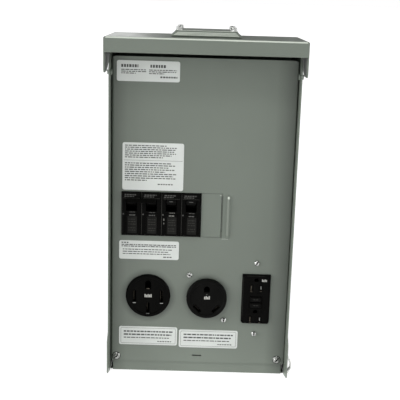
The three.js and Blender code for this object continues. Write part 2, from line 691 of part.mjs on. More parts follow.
function rvReceptacle() {
  const { x, z, frontY } = RV_OUTLET;
  const { blade, ground } = RV_SLOTS;
  const face = frontY + FACE_SINK;
  const slots = [-1, 1].map((side) => bladeSlot(x + side * blade.offset, z + blade.drop, BLADE_WIDTH,
    blade.height, side * blade.turn, face, PIN_DEPTH));
  return cut(roundReceptacle(RV_OUTLET, 5), ...slots,
    pinY(x, z + ground.rise, ground.radius, frontY - 1, face + PIN_DEPTH, 20));
}

piece('range_outlet_body', rangeReceptacle(), 'blackPlastic');
piece('rv_outlet_body', rvReceptacle(), 'blackPlastic');

// Steel bracket behind the dead front that carries the 50 A outlet on the back wall.
function rangeOutletBracket() {
  const { x, z, faceRadius } = RANGE_OUTLET;
  const plate = frontPlate(roundedRectangle(x - 36, x + 36, z - 32, z + 32, 3), 6, 7.6)
    .subtract(pinY(x, z, faceRadius + GAP, 5, 9, CIRCLE));
  const legs = [-1, 1].map((side) => {
    const edges = [x + side * 36, x + side * 34.4].sort((a, b) => a - b);
    return box(edges[0], edges[1], 6, BACK_Y - SHEET - GAP, z - 14, z + 14);
  });
  return join(plate, ...legs);
}

piece('range_outlet_bracket', rangeOutletBracket(), 'galvanised');

// Mounting strap of the 30 A outlet, lying from one screw to the other.
function rvOutletStrap() {
  const [[x0, z0], [x1, z1]] = RV_SCREWS;
  const length = Math.hypot(x1 - x0, z1 - z0) + 14;
  const shape = roundedRectangle(-length / 2, length / 2, -9, 9, 4);
  const geometry = new THREE.ExtrudeGeometry(shape, { depth: 1.5, bevelEnabled: false, curveSegments: 4 });
  geometry.rotateZ(Math.atan2(z1 - z0, x1 - x0));
  geometry.rotateX(Math.PI / 2);
  geometry.translate((x0 + x1) / 2, 3.5, (z0 + z1) / 2);
  const ring = pinY(RV_OUTLET.x, RV_OUTLET.z, 31, 2, 3.5, CIRCLE);
  const bore = pinY(RV_OUTLET.x, RV_OUTLET.z, RV_OUTLET.faceRadius + GAP, 1, 5, CIRCLE);
  const holes = RV_SCREWS.map(([x, z]) => pinY(x, z, 2.1, 1, 5, 12));
  return cut(join(toSolid(geometry), ring), bore, ...holes);
}

piece('rv_outlet_strap', rvOutletStrap(), 'galvanised');

// Ground-fault duplex receptacle: two outlets with the test and reset buttons between them.
const BUTTON = { width: 14.6, height: 6.6, pitch: 8, frontY: -3.9, backY: 6 };
const BUTTON_WELL = { halfWidth: 7.7, halfHeight: 8.1, drop: -4 };
const GFCI_REAR = { halfWidth: 21, halfHeight: 36, backY: 34 };

// One of the two outlets, measured from its slots' level and the middle of the face.
const DUPLEX = {
  slotRises: [14.9, -28.2],
  slotWidth: 2.2,
  neutral: { x: -6.4, height: 8.6 },
  line: { x: 6, height: 7.2 },
  ground: { rise: 11, radius: 2.7 },
};
const FACE_LINE = { outer: 1.6, inner: 2.3, depth: 0.5, radius: 2 };

function gfciBody() {
  const { x, z, width, height, frontY } = GFCI;
  const face = frontPlate(gfciOutline(0), frontY, 6);
  const rear = box(x - GFCI_REAR.halfWidth, x + GFCI_REAR.halfWidth, 5, GFCI_REAR.backY,
    z - GFCI_REAR.halfHeight, z + GFCI_REAR.halfHeight);
  const outlets = DUPLEX.slotRises.map((rise) => {
    const { slotWidth, neutral, line, ground } = DUPLEX;
    const slotZ = z + rise;
    return join(
      bladeSlot(x + neutral.x, slotZ, slotWidth, neutral.height, 0, frontY, PIN_DEPTH),
      bladeSlot(x + line.x, slotZ, slotWidth, line.height, 0, frontY, PIN_DEPTH),
      pinY(x, slotZ + ground.rise, ground.radius, frontY - 1, frontY + PIN_DEPTH, 16),
    );
  });
  const wellZ = z + BUTTON_WELL.drop;
  const well = box(x - BUTTON_WELL.halfWidth, x + BUTTON_WELL.halfWidth, frontY - 1, 9,
    wellZ - BUTTON_WELL.halfHeight, wellZ + BUTTON_WELL.halfHeight);
  const framed = (inset) => roundedRectangle(x - width / 2 + inset, x + width / 2 - inset,
    z - height / 2 + inset, z + height / 2 - inset, FACE_LINE.radius);
  const faceLine = frontPlate(framed(FACE_LINE.outer), frontY - 1, frontY + FACE_LINE.depth)
    .subtract(frontPlate(framed(FACE_LINE.inner), frontY - 2, frontY + 1));
  return cut(join(face, rear), ...outlets, well, faceLine);
}

piece('gfci_body', gfciBody(), 'blackPlastic');

function gfciButton(step) {
  const { x, z } = GFCI;
  const centre = z + BUTTON_WELL.drop + step * BUTTON.pitch;
  const half = BUTTON.width / 2;
  return frontPlate(
    roundedRectangle(x - half, x + half, centre - BUTTON.height / 2, centre + BUTTON.height / 2, 0.8),
    BUTTON.frontY, BUTTON.backY, 2);
}

piece('gfci_test_button', gfciButton(0.5), 'charcoalPlastic');
piece('gfci_reset_button', gfciButton(-0.5), 'charcoalPlastic');

function gfciStrap() {
  const { x, z, screwSpacing } = GFCI;
  const half = screwSpacing / 2 + 6;
  const outline = roundedRectangle(x - 20, x + 20, z - half, z + half, 4);
  const holes = GFCI_SCREWS.map(([screwX, screwZ]) => pinY(screwX, screwZ, 2, 1, 5, 12));
  return cut(frontPlate(outline, 2, 3.4), frontPlate(gfciOutline(GAP), 1, 5), ...holes);
}

piece('gfci_strap', gfciStrap(), 'galvanised');

// ---- interior ----------------------------------------------------------------------------

const PAN = { frontY: 88, backY: 89.5, bottomZ: 165, topZ: 400, halfWidth: 107 };

// Steel pan on the back wall that carries the bus, the neutral bar and the breaker rail.
function interiorPan() {
  const { frontY, backY, bottomZ, topZ, halfWidth } = PAN;
  const plate = frontPlate(roundedRectangle(-halfWidth, halfWidth, bottomZ, topZ, 4), frontY, backY);
  const feet = [[-95, 175], [95, 175], [-95, 390], [95, 390]].map(([x, z]) => (
    box(x - 8, x + 8, frontY, BACK_Y - SHEET - GAP, z - 6, z + 6)));
  const rail = join(
    box(-104, 26, 59.7, frontY + 1, 184, 185.5),
    box(-104, 26, 58.2, 59.7, 179, 190),
  );
  const clearance = MOUNTING_HOLES.map(([x, z]) => pinY(x, z, 7, frontY - 2, backY + 8));
  return cut(join(plate, rail, ...feet), ...clearance);
}

piece('interior_pan', interiorPan(), 'galvanised');

// Moulded base that keeps the two bus bars apart.
const BUS_BASE = { left: -104, right: 26, frontY: 69, backY: 87.7, bottomZ: 236, topZ: 284 };
const BUS = {
  barHalfWidth: 5,
  runBottomZ: 262,
  runTopZ: 272,
  riserTopZ: 308,
  stabBottomZ: 240,
  frontBarY: [58.2, 60.7],
  rearBarY: [66, 68.5],
};

function busBase() {
  const { left, right, frontY, backY, bottomZ, topZ } = BUS_BASE;
  const plate = box(left, right, frontY, backY, bottomZ, topZ);
  const rib = box(poleCentre(0) + 6.8, poleCentre(0) + 14.8, BUS.frontBarY[1] + 0.5, frontY + 1,
    BUS.runBottomZ, topZ);
  const barrier = box(poleCentre(1) + 8.6, poleCentre(1) + 13.6, 62.5, frontY + 1, 276, topZ);
  return join(plate, rib, barrier);
}

piece('bus_base', busBase(), 'bluePlastic');

// Each bus bar is a comb: a run, a stab behind each of its poles, and a riser to its line lug.
function busStrip(firstPole, lastPole, [y0, y1], z0, z1) {
  const half = BUS.barHalfWidth;
  return box(poleCentre(firstPole) - half, poleCentre(lastPole) + half, y0, y1, z0, z1);
}

function busBarA() {
  const run = busStrip(0, 2, BUS.frontBarY, BUS.runBottomZ, BUS.runTopZ);
  const stabs = [0, 2].map((pole) => (
    busStrip(pole, pole, BUS.frontBarY, BUS.stabBottomZ, BUS.runBottomZ + 1)));
  const riser = busStrip(0, 0, BUS.frontBarY, BUS.runTopZ - 1, BUS.riserTopZ);
  return join(run, riser, ...stabs);
}

function busBarB() {
  const run = busStrip(1, 3, BUS.rearBarY, BUS.runBottomZ, BUS.runTopZ);
  const forward = [BUS.frontBarY[0], BUS.rearBarY[1]];
  const stabs = [1, 3].map((pole) => join(
    busStrip(pole, pole, BUS.rearBarY, BUS.stabBottomZ + 2, BUS.runBottomZ + 1),
    busStrip(pole, pole, forward, BUS.stabBottomZ + 2, BUS.runBottomZ - 10),
  ));
  const riser = busStrip(3, 3, BUS.rearBarY, BUS.runTopZ - 1, BUS.riserTopZ);
  return join(run, riser, ...stabs);
}

piece('bus_bar_a', busBarA(), 'copper');
piece('bus_bar_b', busBarB(), 'copper');

// Line lugs for the incoming supply, each with a wire way from above and a clamping screw.
const LUG = { halfWidth: 8, depth: 20, bottomZ: 288, wireWayDepth: 9, wireWayRadius: 5.5, screwRadius: 3.2 };

function lineLug(x, y) {
  const { halfWidth, depth, bottomZ, wireWayDepth, wireWayRadius, screwRadius } = LUG;
  const topZ = BUS.riserTopZ;
  const block = box(x - halfWidth, x + halfWidth, y - depth, y - GAP, bottomZ, topZ);
  return cut(block,
    pinZ(x, y - wireWayDepth, wireWayRadius, bottomZ - 3, topZ + 3, 20),
    pinY(x, (bottomZ + topZ) / 2, screwRadius, y - depth - 1, y - wireWayDepth - 3, 12));
}

piece('line_lug_a', lineLug(poleCentre(0), BUS.frontBarY[0]), 'aluminium');
piece('line_lug_b', lineLug(poleCentre(3), BUS.rearBarY[0]), 'aluminium');

// Terminal bar with a row of wire ways from the left side and set screws from the front.
function terminalBar(x0, x1, y0, y1, z0, z1, ways) {
  const bar = box(x0, x1, y0, y1, z0, z1);
  const midY = (y0 + y1) / 2;
  const pitch = (z1 - z0) / ways;
  const holes = [];
  for (let i = 0; i < ways; i += 1) {
    const z = z0 + pitch * (i + 0.5);
    holes.push(pinX(midY, z, 2.6, x0 - 1, x1 + 1, 8));
    holes.push(pinY((x0 + x1) / 2, z, 1.8, y0 - 1, midY, 8));
  }
  return cut(bar, ...holes);
}

piece('neutral_bar', terminalBar(56, 68, 72, 84, 200, 280, 6), 'aluminium');
piece('neutral_bar_base', box(52, 72, 84.3, 87.7, 194, 286), 'charcoalPlastic');
piece('ground_bar', terminalBar(86, 96, 77.7, 87.7, 200, 280, 6), 'aluminium');

// ---- wiring ------------------------------------------------------------------------------

// Where each wire starts, the bends it takes, and where it ends, all inside the enclosure.
const loadY = WIRE_WAY.y;
const loadZ = BREAKER.bodyBottomZ + 8;
const rangeRear = RANGE_OUTLET.backY + GAP;
const rvRear = RV_OUTLET.backY + GAP;
const gfciRear = GFCI_REAR.backY + GAP;

const wires = [
  ['wire_50a_line_1', 'blackWire', 3.1, [
    [poleCentre(0), loadY, loadZ], [poleCentre(0), loadY + 1, 168], [-84, 56, 145], [-83.8, 60, 122],
    [-83.8, 52, 107], [-83.8, rangeRear, 106]]],
  ['wire_50a_line_2', 'redWire', 3.1, [
    [poleCentre(1), loadY, loadZ], [poleCentre(1), loadY + 1, 168], [-52, 56, 145], [-48.6, 60, 122],
    [-48.6, 52, 107], [-48.6, rangeRear, 106]]],
  ['wire_50a_neutral', 'whiteWire', 3.1, [
    [-66.2, rangeRear, 90], [-66.2, 54, 91], [-62, 66, 104], [-40, 72, 138], [0, 75, 160],
    [30, 75, 170], [40, 77, 190], [47, 78, 204.5], [54.6, 78, 206.67]]],
  ['wire_50a_ground', 'greenWire', 2.1, [
    [-66.2, rangeRear, 122], [-66.2, 50, 123], [-58, 62, 134], [-10, 66, 146], [40, 68, 156],
    [74, 76, 180], [79, 82, 200], [85.7, 82.7, 206.67]]],
  ['wire_30a_line', 'blackWire', 2.1, [
    [poleCentre(2), loadY, loadZ], [poleCentre(2), loadY + 1, 168], [-24, 50, 138], [-6, 56, 112],
    [-2.5, 50, 93], [-2.2, rvRear, 92]]],
  ['wire_30a_neutral', 'whiteWire', 2.1, [
    [22.2, rvRear, 92], [22.2, 48, 92.5], [27, 58, 108], [32, 60, 150], [32, 62, 195],
    [38, 72, 216], [55.7, 78, 220]]],
  ['wire_20a_line', 'blackWire', 1.7, [
    [poleCentre(3), loadY, loadZ], [poleCentre(3), loadY + 1, 168], [10, 50, 146], [50, 52, 138],
    [70, 50, 128], [80, 44, 121], [80.5, gfciRear, 120.5]]],
  ['wire_20a_neutral', 'whiteWire', 1.7, [
    [67.5, gfciRear, 90], [67.5, 44, 91], [72, 54, 104], [76, 58, 160], [77, 60, 215],
    [76, 72, 229], [68.3, 78, 233.33]]],
];

wires.forEach(([name, finish, radius, route]) => {
  piece(name, wireAlong(route, radius, 24), finish);
});

export default panel;
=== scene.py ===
import json
import math
import random

import bmesh
import bpy
from mathutils import Matrix, Vector


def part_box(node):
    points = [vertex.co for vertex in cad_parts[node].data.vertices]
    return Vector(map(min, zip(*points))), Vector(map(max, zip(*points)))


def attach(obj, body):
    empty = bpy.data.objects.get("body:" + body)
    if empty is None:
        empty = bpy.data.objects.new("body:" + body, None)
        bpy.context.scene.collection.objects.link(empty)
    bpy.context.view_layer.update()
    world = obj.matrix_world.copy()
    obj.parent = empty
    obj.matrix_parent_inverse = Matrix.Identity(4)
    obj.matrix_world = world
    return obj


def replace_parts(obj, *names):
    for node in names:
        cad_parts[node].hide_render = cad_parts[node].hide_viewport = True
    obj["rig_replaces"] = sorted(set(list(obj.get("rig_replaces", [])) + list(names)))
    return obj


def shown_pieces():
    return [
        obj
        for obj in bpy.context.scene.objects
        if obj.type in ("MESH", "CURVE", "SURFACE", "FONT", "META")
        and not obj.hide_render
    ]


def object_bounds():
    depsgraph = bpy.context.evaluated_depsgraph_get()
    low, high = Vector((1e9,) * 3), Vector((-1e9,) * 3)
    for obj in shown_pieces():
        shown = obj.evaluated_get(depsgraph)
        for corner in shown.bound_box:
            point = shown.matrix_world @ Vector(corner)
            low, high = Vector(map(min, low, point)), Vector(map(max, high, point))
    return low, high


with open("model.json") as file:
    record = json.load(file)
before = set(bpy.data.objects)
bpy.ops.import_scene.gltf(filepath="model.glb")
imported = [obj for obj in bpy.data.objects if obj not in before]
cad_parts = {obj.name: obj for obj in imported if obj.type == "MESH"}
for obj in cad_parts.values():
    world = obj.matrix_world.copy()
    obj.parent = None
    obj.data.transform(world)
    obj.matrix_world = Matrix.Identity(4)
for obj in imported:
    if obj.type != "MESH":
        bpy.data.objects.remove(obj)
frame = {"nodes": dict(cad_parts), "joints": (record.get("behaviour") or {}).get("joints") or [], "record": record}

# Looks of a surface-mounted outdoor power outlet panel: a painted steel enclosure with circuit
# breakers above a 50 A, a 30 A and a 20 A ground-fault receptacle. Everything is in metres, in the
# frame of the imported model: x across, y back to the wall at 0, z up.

CAD_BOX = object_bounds()
MM = 0.001
scene = bpy.context.scene


# ---- shader helpers ------------------------------------------------------------------------

class Finish:
    """One material: a Principled shader with procedural colour, roughness and bump."""

    def __init__(self, name, colour, roughness, metallic=0.0, specular=0.5):
        self.material = bpy.data.materials.new(name)
        self.material.use_nodes = True
        self.tree = self.material.node_tree
        self.shader = self.tree.nodes["Principled BSDF"]
        self.shader.inputs["Base Color"].default_value = (*colour, 1)
        self.shader.inputs["Roughness"].default_value = roughness
        self.shader.inputs["Metallic"].default_value = metallic
        self.shader.inputs["Specular IOR Level"].default_value = specular
        self.colour = colour
        self.place = self.node("ShaderNodeTexCoord").outputs["Object"]
        self.height = None

    def node(self, kind, **settings):
        made = self.tree.nodes.new(kind)
        for key, value in settings.items():
            setattr(made, key, value)
        return made

    def stretched(self, stretch):
        """Object coordinates, scaled along each axis."""
        mapping = self.node("ShaderNodeMapping")
        mapping.inputs["Scale"].default_value = stretch
        self.tree.links.new(self.place, mapping.inputs["Vector"])
        return mapping.outputs["Vector"]

    def noise(self, scale, detail=2.0, stretch=None, roughness=0.5):
        made = self.node("ShaderNodeTexNoise")
        made.inputs["Scale"].default_value = scale
        made.inputs["Detail"].default_value = detail
        made.inputs["Roughness"].default_value = roughness
        source = self.stretched(stretch) if stretch else self.place
        self.tree.links.new(source, made.inputs["Vector"])
        return made.outputs["Fac"]

    def cells(self, scale):
        made = self.node("ShaderNodeTexVoronoi")
        made.inputs["Scale"].default_value = scale
        self.tree.links.new(self.place, made.inputs["Vector"])
        return made.outputs["Color"]

    def spread(self, source, low, high, start=0.3, end=0.7):
        """A value between low and high as source goes from start to end."""
        made = self.node("ShaderNodeMapRange")
        made.inputs["From Min"].default_value = start
        made.inputs["From Max"].default_value = end
        made.inputs["To Min"].default_value = low
        made.inputs["To Max"].default_value = high
        self.tree.links.new(source, made.inputs["Value"])
        return made.outputs["Result"]

    def tint(self, source, dark, light, start=0.3, end=0.7):
        """Multiplies the colour so far by a factor between dark and light."""
        factor = self.spread(source, dark, light, start, end)
        made = self.node("ShaderNodeVectorMath", operation="SCALE")
        previous = self.shader.inputs["Base Color"]
        if previous.is_linked:
            self.tree.links.new(previous.links[0].from_socket, made.inputs[0])
        else:
            made.inputs[0].default_value = self.colour
        self.tree.links.new(factor, made.inputs["Scale"])
        self.tree.links.new(made.outputs["Vector"], previous)

    def rough(self, source, low, high, start=0.3, end=0.7):
        self.tree.links.new(self.spread(source, low, high, start, end), self.shader.inputs["Roughness"])

    def bump(self, source, distance, strength=1.0):
        """Adds a bump of that depth in metres to the bumps so far."""
        made = self.node("ShaderNodeBump")
        made.inputs["Strength"].default_value = strength
        made.inputs["Distance"].default_value = distance
        self.tree.links.new(source, made.inputs["Height"])
        if self.height is not None:
            self.tree.links.new(self.height, made.inputs["Normal"])
        self.height = made.outputs["Normal"]
        self.tree.links.new(self.height, self.shader.inputs["Normal"])


def enamel(name, colour):
    """Sprayed and baked grey enamel: orange peel, faint clouding, uneven gloss."""
    return sprayed(name, colour).material


def sprayed(name, colour):
    finish = Finish(name, colour, 0.33, specular=0.45)
    finish.tint(finish.noise(9, 3), 0.965, 1.03)
    finish.tint(finish.noise(1500, 1), 0.975, 1.02)
    finish.rough(finish.noise(60, 3), 0.28, 0.4)
    finish.bump(finish.noise(330, 2), 0.00006)
    finish.bump(finish.noise(1400, 2), 0.000012)
    return finish


def shaded(name, colour, outlets, half_width):
    """Clean enamel with painted shade round the outlets and along the side edges, and painted light low down.

    The studio's light doesn't give this shade, so the paint does, at fixed places on the sheet and in
    every view. The outlets are listed as (x, z, radius).
    """
    finish = sprayed(name, colour)
    halo, right_band, left_band, paling = 8 * MM, 26 * MM, 20 * MM, 70 * MM
    for x, z, radius in outlets:
        flat = finish.node("ShaderNodeVectorMath", operation="MULTIPLY")
        flat.inputs[1].default_value = (1, 0, 1)
        finish.tree.links.new(finish.place, flat.inputs[0])
        away = finish.node("ShaderNodeVectorMath", operation="DISTANCE")
        away.inputs[1].default_value = (x, 0, z)
        finish.tree.links.new(flat.outputs["Vector"], away.inputs[0])
        finish.tint(away.outputs["Value"], 0.65, 1.0, radius, radius + halo)
    split = finish.node("ShaderNodeSeparateXYZ")
    finish.tree.links.new(finish.place, split.inputs[0])
    finish.tint(split.outputs["X"], 1.0, 0.52, half_width - right_band, half_width)
    finish.tint(split.outputs["X"], 0.62, 1.0, -half_width, left_band - half_width)
    finish.tint(split.outputs["Z"], 1.24, 1.0, CAD_BOX[0].z, CAD_BOX[0].z + paling)
    return finish.material


def moulding(name, colour, roughness, grain=1800, specular=0.3):
    """Moulded plastic: fine grain, faint flow marks and uneven gloss."""
    finish = Finish(name, colour, roughness, specular=specular)
    finish.tint(finish.noise(120, 3, stretch=(1, 1, 0.25)), 0.8, 1.25)
    finish.rough(finish.noise(260, 3), roughness - 0.07, roughness + 0.1)
    finish.bump(finish.noise(grain, 2), 0.000012)
    finish.bump(finish.noise(180, 2), 0.00003)
    return finish.material


def plating(name, colour, roughness, stretch=None):
    """Plated steel: slightly uneven tone, fine drawn lines and small pits."""
    finish = Finish(name, colour, roughness, metallic=1.0)
    finish.tint(finish.noise(420, 3), 0.82, 1.08)
    finish.rough(finish.noise(700, 3, stretch=stretch), roughness - 0.08, roughness + 0.14)
    finish.bump(finish.noise(2600, 2, stretch=stretch), 0.000012)
    return finish.material


def galvanising(name, colour):
    """Hot-dip zinc with its crystal spangle."""
    finish = Finish(name, colour, 0.45, metallic=0.9)
    spangle = finish.cells(130)
    finish.tint(spangle, 0.78, 1.05, 0, 1)
    finish.rough(spangle, 0.36, 0.58, 0, 1)
    finish.bump(finish.noise(900, 2), 0.00001)
    return finish.material


def rubber(name, colour):
    finish = Finish(name, colour, 0.85, specular=0.25)
    finish.tint(finish.noise(500, 3), 0.8, 1.2)
    finish.bump(finish.noise(2200, 2), 0.00003)
    return finish.material


def vinyl(name, colour):
    """Self-adhesive film: faint mottling and a slightly wavy, half-gloss face."""
    finish = Finish(name, colour, 0.38, specular=0.4)
    finish.tint(finish.noise(55, 2), 0.965, 1.02)
    finish.rough(finish.noise(200, 2), 0.32, 0.46)
    finish.bump(finish.noise(90, 1), 0.00004)
    return finish.material


def insulation(name, colour):
    """Extruded wire insulation with faint lengthwise streaks."""
    finish = Finish(name, colour, 0.36, specular=0.5)
    finish.tint(finish.noise(300, 2, stretch=(1, 1, 0.1)), 0.88, 1.08)
    finish.bump(finish.noise(1500, 2), 0.00001)
    return finish.material


GREY = (0.161, 0.186, 0.156)
FINISHES = {
    "grey_paint": enamel("grey_enamel", GREY),
    "zinc_steel": plating("bright_zinc", (0.64, 0.65, 0.63), 0.26),
    "galvanised_steel": galvanising("galvanised_steel", (0.52, 0.54, 0.54)),
    "black_plastic": moulding("black_thermoset", (0.0022, 0.0022, 0.0019), 0.38, specular=0.035),
    "charcoal_plastic": moulding("charcoal_moulding", (0.0045, 0.0045, 0.004), 0.45, specular=0.1),
    "blue_plastic": moulding("blue_moulding", (0.02, 0.045, 0.11), 0.5),
    "copper": plating("rolled_copper", (0.7, 0.33, 0.19), 0.32, stretch=(1, 1, 0.06)),
    "aluminium_bar": plating("extruded_aluminium", (0.66, 0.67, 0.68), 0.38, stretch=(1, 1, 0.05)),
    "gasket_rubber": rubber("gasket_rubber", (0.012, 0.012, 0.012)),
    "white_label": vinyl("label_film", (0.66, 0.69, 0.66)),
    "wire_black": insulation("insulation_black", (0.012, 0.012, 0.012)),
    "wire_red": insulation("insulation_red", (0.42, 0.025, 0.02)),
    "wire_white": insulation("insulation_white", (0.72, 0.71, 0.66)),
    "wire_green": insulation("insulation_green", (0.03, 0.2, 0.06)),
}
INK = moulding("label_ink", (0.075, 0.08, 0.075), 0.6)
# The panel is clean. The pale grey and the lighter grey enamel below are painted highlights on lit
# edges, bends and steps.
HIGHLIGHT_GREY = enamel("painted_highlight_enamel", (0.6, 0.65, 0.57))
SHEEN_GREY = enamel("painted_sheen_enamel", (0.215, 0.24, 0.205))
DULL_ZINC = plating("weathered_zinc", (0.4, 0.41, 0.39), 0.26)
STAMP = moulding("pale_stamp", (0.42, 0.42, 0.39), 0.6)
DIM_STAMP = moulding("dim_stamp", (0.07, 0.07, 0.065), 0.6)
PRINT = moulding("breaker_print", (0.15, 0.15, 0.135), 0.6)
# Painted shade: near-black linings in screw slots, under washers and in the gap beside the filler plate.
GAP_SHADE_BLACK = moulding("painted_gap_shade", (0.008, 0.008, 0.007), 0.9, specular=0.1)
FACE_BLACK = moulding("black_face", (0.0035, 0.0035, 0.0031), 0.42, specular=0.045)
# Darker contact metal: painted shade on the contacts deep in the slots and on the dimmer slot ends.
SHADED_CONTACT = plating("shaded_contact_metal", (0.14, 0.125, 0.1), 0.4)
PAD_BLACK = moulding("breaker_pad", (0.0105, 0.0105, 0.0095), 0.5, specular=0.07)
# Lighter black: painted highlights on edges of the breakers and the ground-fault outlet, and also print rows on
# the breaker pads and marks on the outlet's buttons.
EDGE_BLACK = moulding("breaker_edge", (0.034, 0.034, 0.03), 0.45, specular=0.12)
HANDLE_BLACK = moulding("handle_black", (0.004, 0.004, 0.0036), 0.38, specular=0.08)


# ---- mesh helpers --------------------------------------------------------------------------

def body_of(node):
    """The body that a CAD node rides on."""
    for body, members in frame["record"]["behaviour"]["bodies"].items():
        if node in members:
            return body
    raise KeyError(node)


def slot_of(node):
    """The material slot that the record gives a CAD node."""
    for row in frame["record"]["subparts"]:
        if row["node"] == node:
            return row["material_slot"]
    raise KeyError(node)


def finished(name, mesh, body, slot, material=None, replaces=(), smooth_angle=35):
    """Links a mesh as a piece: its finish (the slot's unless given), soft edges shaded by area and its body."""
    piece = bpy.data.objects.new(name, mesh)
    scene.collection.objects.link(piece)
    mesh.materials.clear()
    mesh.materials.append(material or FINISHES[slot])
    mesh.polygons.foreach_set("use_smooth", [True] * len(mesh.polygons))
    mesh.set_sharp_from_angle(angle=math.radians(smooth_angle))
    weigh = piece.modifiers.new("even_shading", "WEIGHTED_NORMAL")
    weigh.keep_sharp = True
    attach(piece, body)
    if replaces:
        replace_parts(piece, *replaces)
    return piece


def mesh_from(bm, name):
    bmesh.ops.triangulate(bm, faces=[f for f in bm.faces if len(f.verts) > 4])
    bmesh.ops.recalc_face_normals(bm, faces=bm.faces)
    mesh = bpy.data.meshes.new(name)
    bm.to_mesh(mesh)
    bm.free()
    return mesh


def cad_copy(node):
    """The CAD node's mesh with its flat facets merged into whole faces."""
    bm = bmesh.new()
    bm.from_mesh(frame["nodes"][node].data)
    bmesh.ops.remove_doubles(bm, verts=bm.verts, dist=2e-6)
    bmesh.ops.dissolve_limit(bm, angle_limit=math.radians(0.7), verts=bm.verts, edges=bm.edges)
    return bm


SHARP = math.radians(30)        # edges that turn further than this are rounded
EDGE_ROUND = 0.25 * MM


def soften(bm, radius, segments=2):
    """Rounds the sharp edges."""
    edges = [e for e in bm.edges if len(e.link_faces) == 2 and e.calc_face_angle(0) > SHARP]
    if edges:
        bmesh.ops.bevel(bm, geom=edges, offset=radius, segments=segments, profile=0.5,
                        affect="EDGES", clamp_overlap=False)


def softened(node, material=None):
    """A CAD node shown with its sharp edges rounded."""
    bm = cad_copy(node)
    soften(bm, EDGE_ROUND)
    mesh = mesh_from(bm, node + "_mesh")
    return finished(node + "_shape", mesh, body_of(node), slot_of(node), material, [node])


# ---- solids drawn in millimetres round a spot ----------------------------------------------

FACE_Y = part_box("breaker_filler_plate")[0].y       # the dead front's face


def spot_of(node):
    """The middle of a node's box, brought to the face of the dead front."""
    low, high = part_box(node)
    return Vector(((low.x + high.x) / 2, FACE_Y, (low.z + high.z) / 2))


def reach_of(node):
    """A node's half width and half height, and its front and back from the dead front, in mm."""
    low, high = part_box(node)
    half_width, half_height = (high.x - low.x) / 2 / MM, (high.z - low.z) / 2 / MM
    return half_width, half_height, (low.y - FACE_Y) / MM, (high.y - FACE_Y) / MM


def circle(radius, segments=96):
    turns = [2 * math.pi * i / segments for i in range(segments)]
    return [(radius * math.cos(a), radius * math.sin(a)) for a in turns]


def rounded(x0, x1, z0, z1, radius, steps=6, upper=None):
    """Outline of a rectangle with rounded corners, anticlockwise from the front.

    upper is the radius of the top corners where it differs.
    """
    top = radius if upper is None else upper
    centres = ((x1 - radius, z0 + radius, radius), (x1 - top, z1 - top, top),
               (x0 + top, z1 - top, top), (x0 + radius, z0 + radius, radius))
    points = []
    for quarter, (cx, cz, r) in enumerate(centres):
        for i in range(steps + 1):
            a = math.radians(-90 + 90 * quarter + 90 * i / steps)
            points.append((cx + r * math.cos(a), cz + r * math.sin(a)))
    return points


def loft(sections, x=0.0, z=0.0, turn=0.0):
    """A closed solid through outlines of equal length, listed as (y, outline)."""
    bm = bmesh.new()
    c, s = math.cos(math.radians(turn)), math.sin(math.radians(turn))
    rings = []
    for y, outline in sections:
        rings.append([bm.verts.new((x + a * c - b * s, y, z + a * s + b * c)) for a, b in outline])
    bm.faces.new(rings[0])
    bm.faces.new(list(reversed(rings[-1])))
    for front, rear in zip(rings, rings[1:]):
        for i, corner in enumerate(front):
            j = (i + 1) % len(front)
            bm.faces.new((corner, rear[i], rear[j], front[j]))
    return bm


def turned(profile, x=0.0, z=0.0, segments=96):
    """A solid of revolution about Y, its profile listed as (radius, y)."""
    return loft([(y, circle(radius, segments)) for radius, y in profile], x, z)


def slab(x0, x1, y0, y1, z0, z1, radius=0.0):
    outline = rounded(x0, x1, z0, z1, radius) if radius else [(x0, z0), (x1, z0), (x1, z1), (x0, z1)]
    return loft([(y0, outline), (y1, outline)])


def together(parts):
    """Separate solids in one mesh."""
    whole = bmesh.new()
    for part in parts:
        mesh = bpy.data.meshes.new("part")
        part.to_mesh(mesh)
        part.free()
        whole.from_mesh(mesh)
        bpy.data.meshes.remove(mesh)
    return whole


def combined(operation, body, tools):
    """The body joined with, or cut by, each of the tools."""
    stands = []
    for bm in [body, *tools]:
        bmesh.ops.recalc_face_normals(bm, faces=bm.faces)
        mesh = bpy.data.meshes.new("blank")
        bm.to_mesh(mesh)
        bm.free()
        stands.append(bpy.data.objects.new("blank", mesh))
        scene.collection.objects.link(stands[-1])
    for tool in stands[1:]:
        step = stands[0].modifiers.new("step", "BOOLEAN")
        step.operation, step.solver, step.object = operation, "EXACT", tool
    graph = bpy.context.evaluated_depsgraph_get()
    graph.update()
    shaped = bmesh.new()
    shaped.from_mesh(stands[0].evaluated_get(graph).data)
    for stand in stands:
        mesh = stand.data
        bpy.data.objects.remove(stand)
        bpy.data.meshes.remove(mesh)
    bmesh.ops.dissolve_limit(shaped, angle_limit=math.radians(0.3), verts=shaped.verts, edges=shaped.edges)
    return shaped


def cut(body, *tools):
    return combined("DIFFERENCE", body, tools)


def joined(body, *tools):
    return combined("UNION", body, tools)


def bar_along(profile, x0, x1):
    """A straight bar from x0 to x1, its section listed as (y, z)."""
    bm = bmesh.new()
    ends = [[bm.verts.new((x, y, z)) for y, z in profile] for x in (x0, x1)]
    bm.faces.new(ends[0])
    bm.faces.new(list(reversed(ends[1])))
    for i, corner in enumerate(ends[0]):
        j = (i + 1) % len(profile)
        bm.faces.new((corner, ends[1][i], ends[1][j], ends[0][j]))
    return bm


def put(name, bm, spot, node, material=None, slot=None, replaces=False, radius=0.0, segments=2,
        smooth_angle=35):
    """Sets a solid down at a spot, as a piece that rides with a CAD node."""
    if radius:
        soften(bm, radius, segments)
    bmesh.ops.transform(bm, matrix=Matrix.Translation(spot) @ Matrix.Scale(MM, 4), verts=bm.verts)
    return finished(name, mesh_from(bm, name + "_mesh"), body_of(node), slot or slot_of(node), material,
                    [node] if replaces else (), smooth_angle)


# ---- labels --------------------------------------------------------------------------------

FILM = 0.5          # how far a label's face stands off the dead front
INK_FRONT, INK_BACK = -FILM - 0.03, -FILM + 0.2


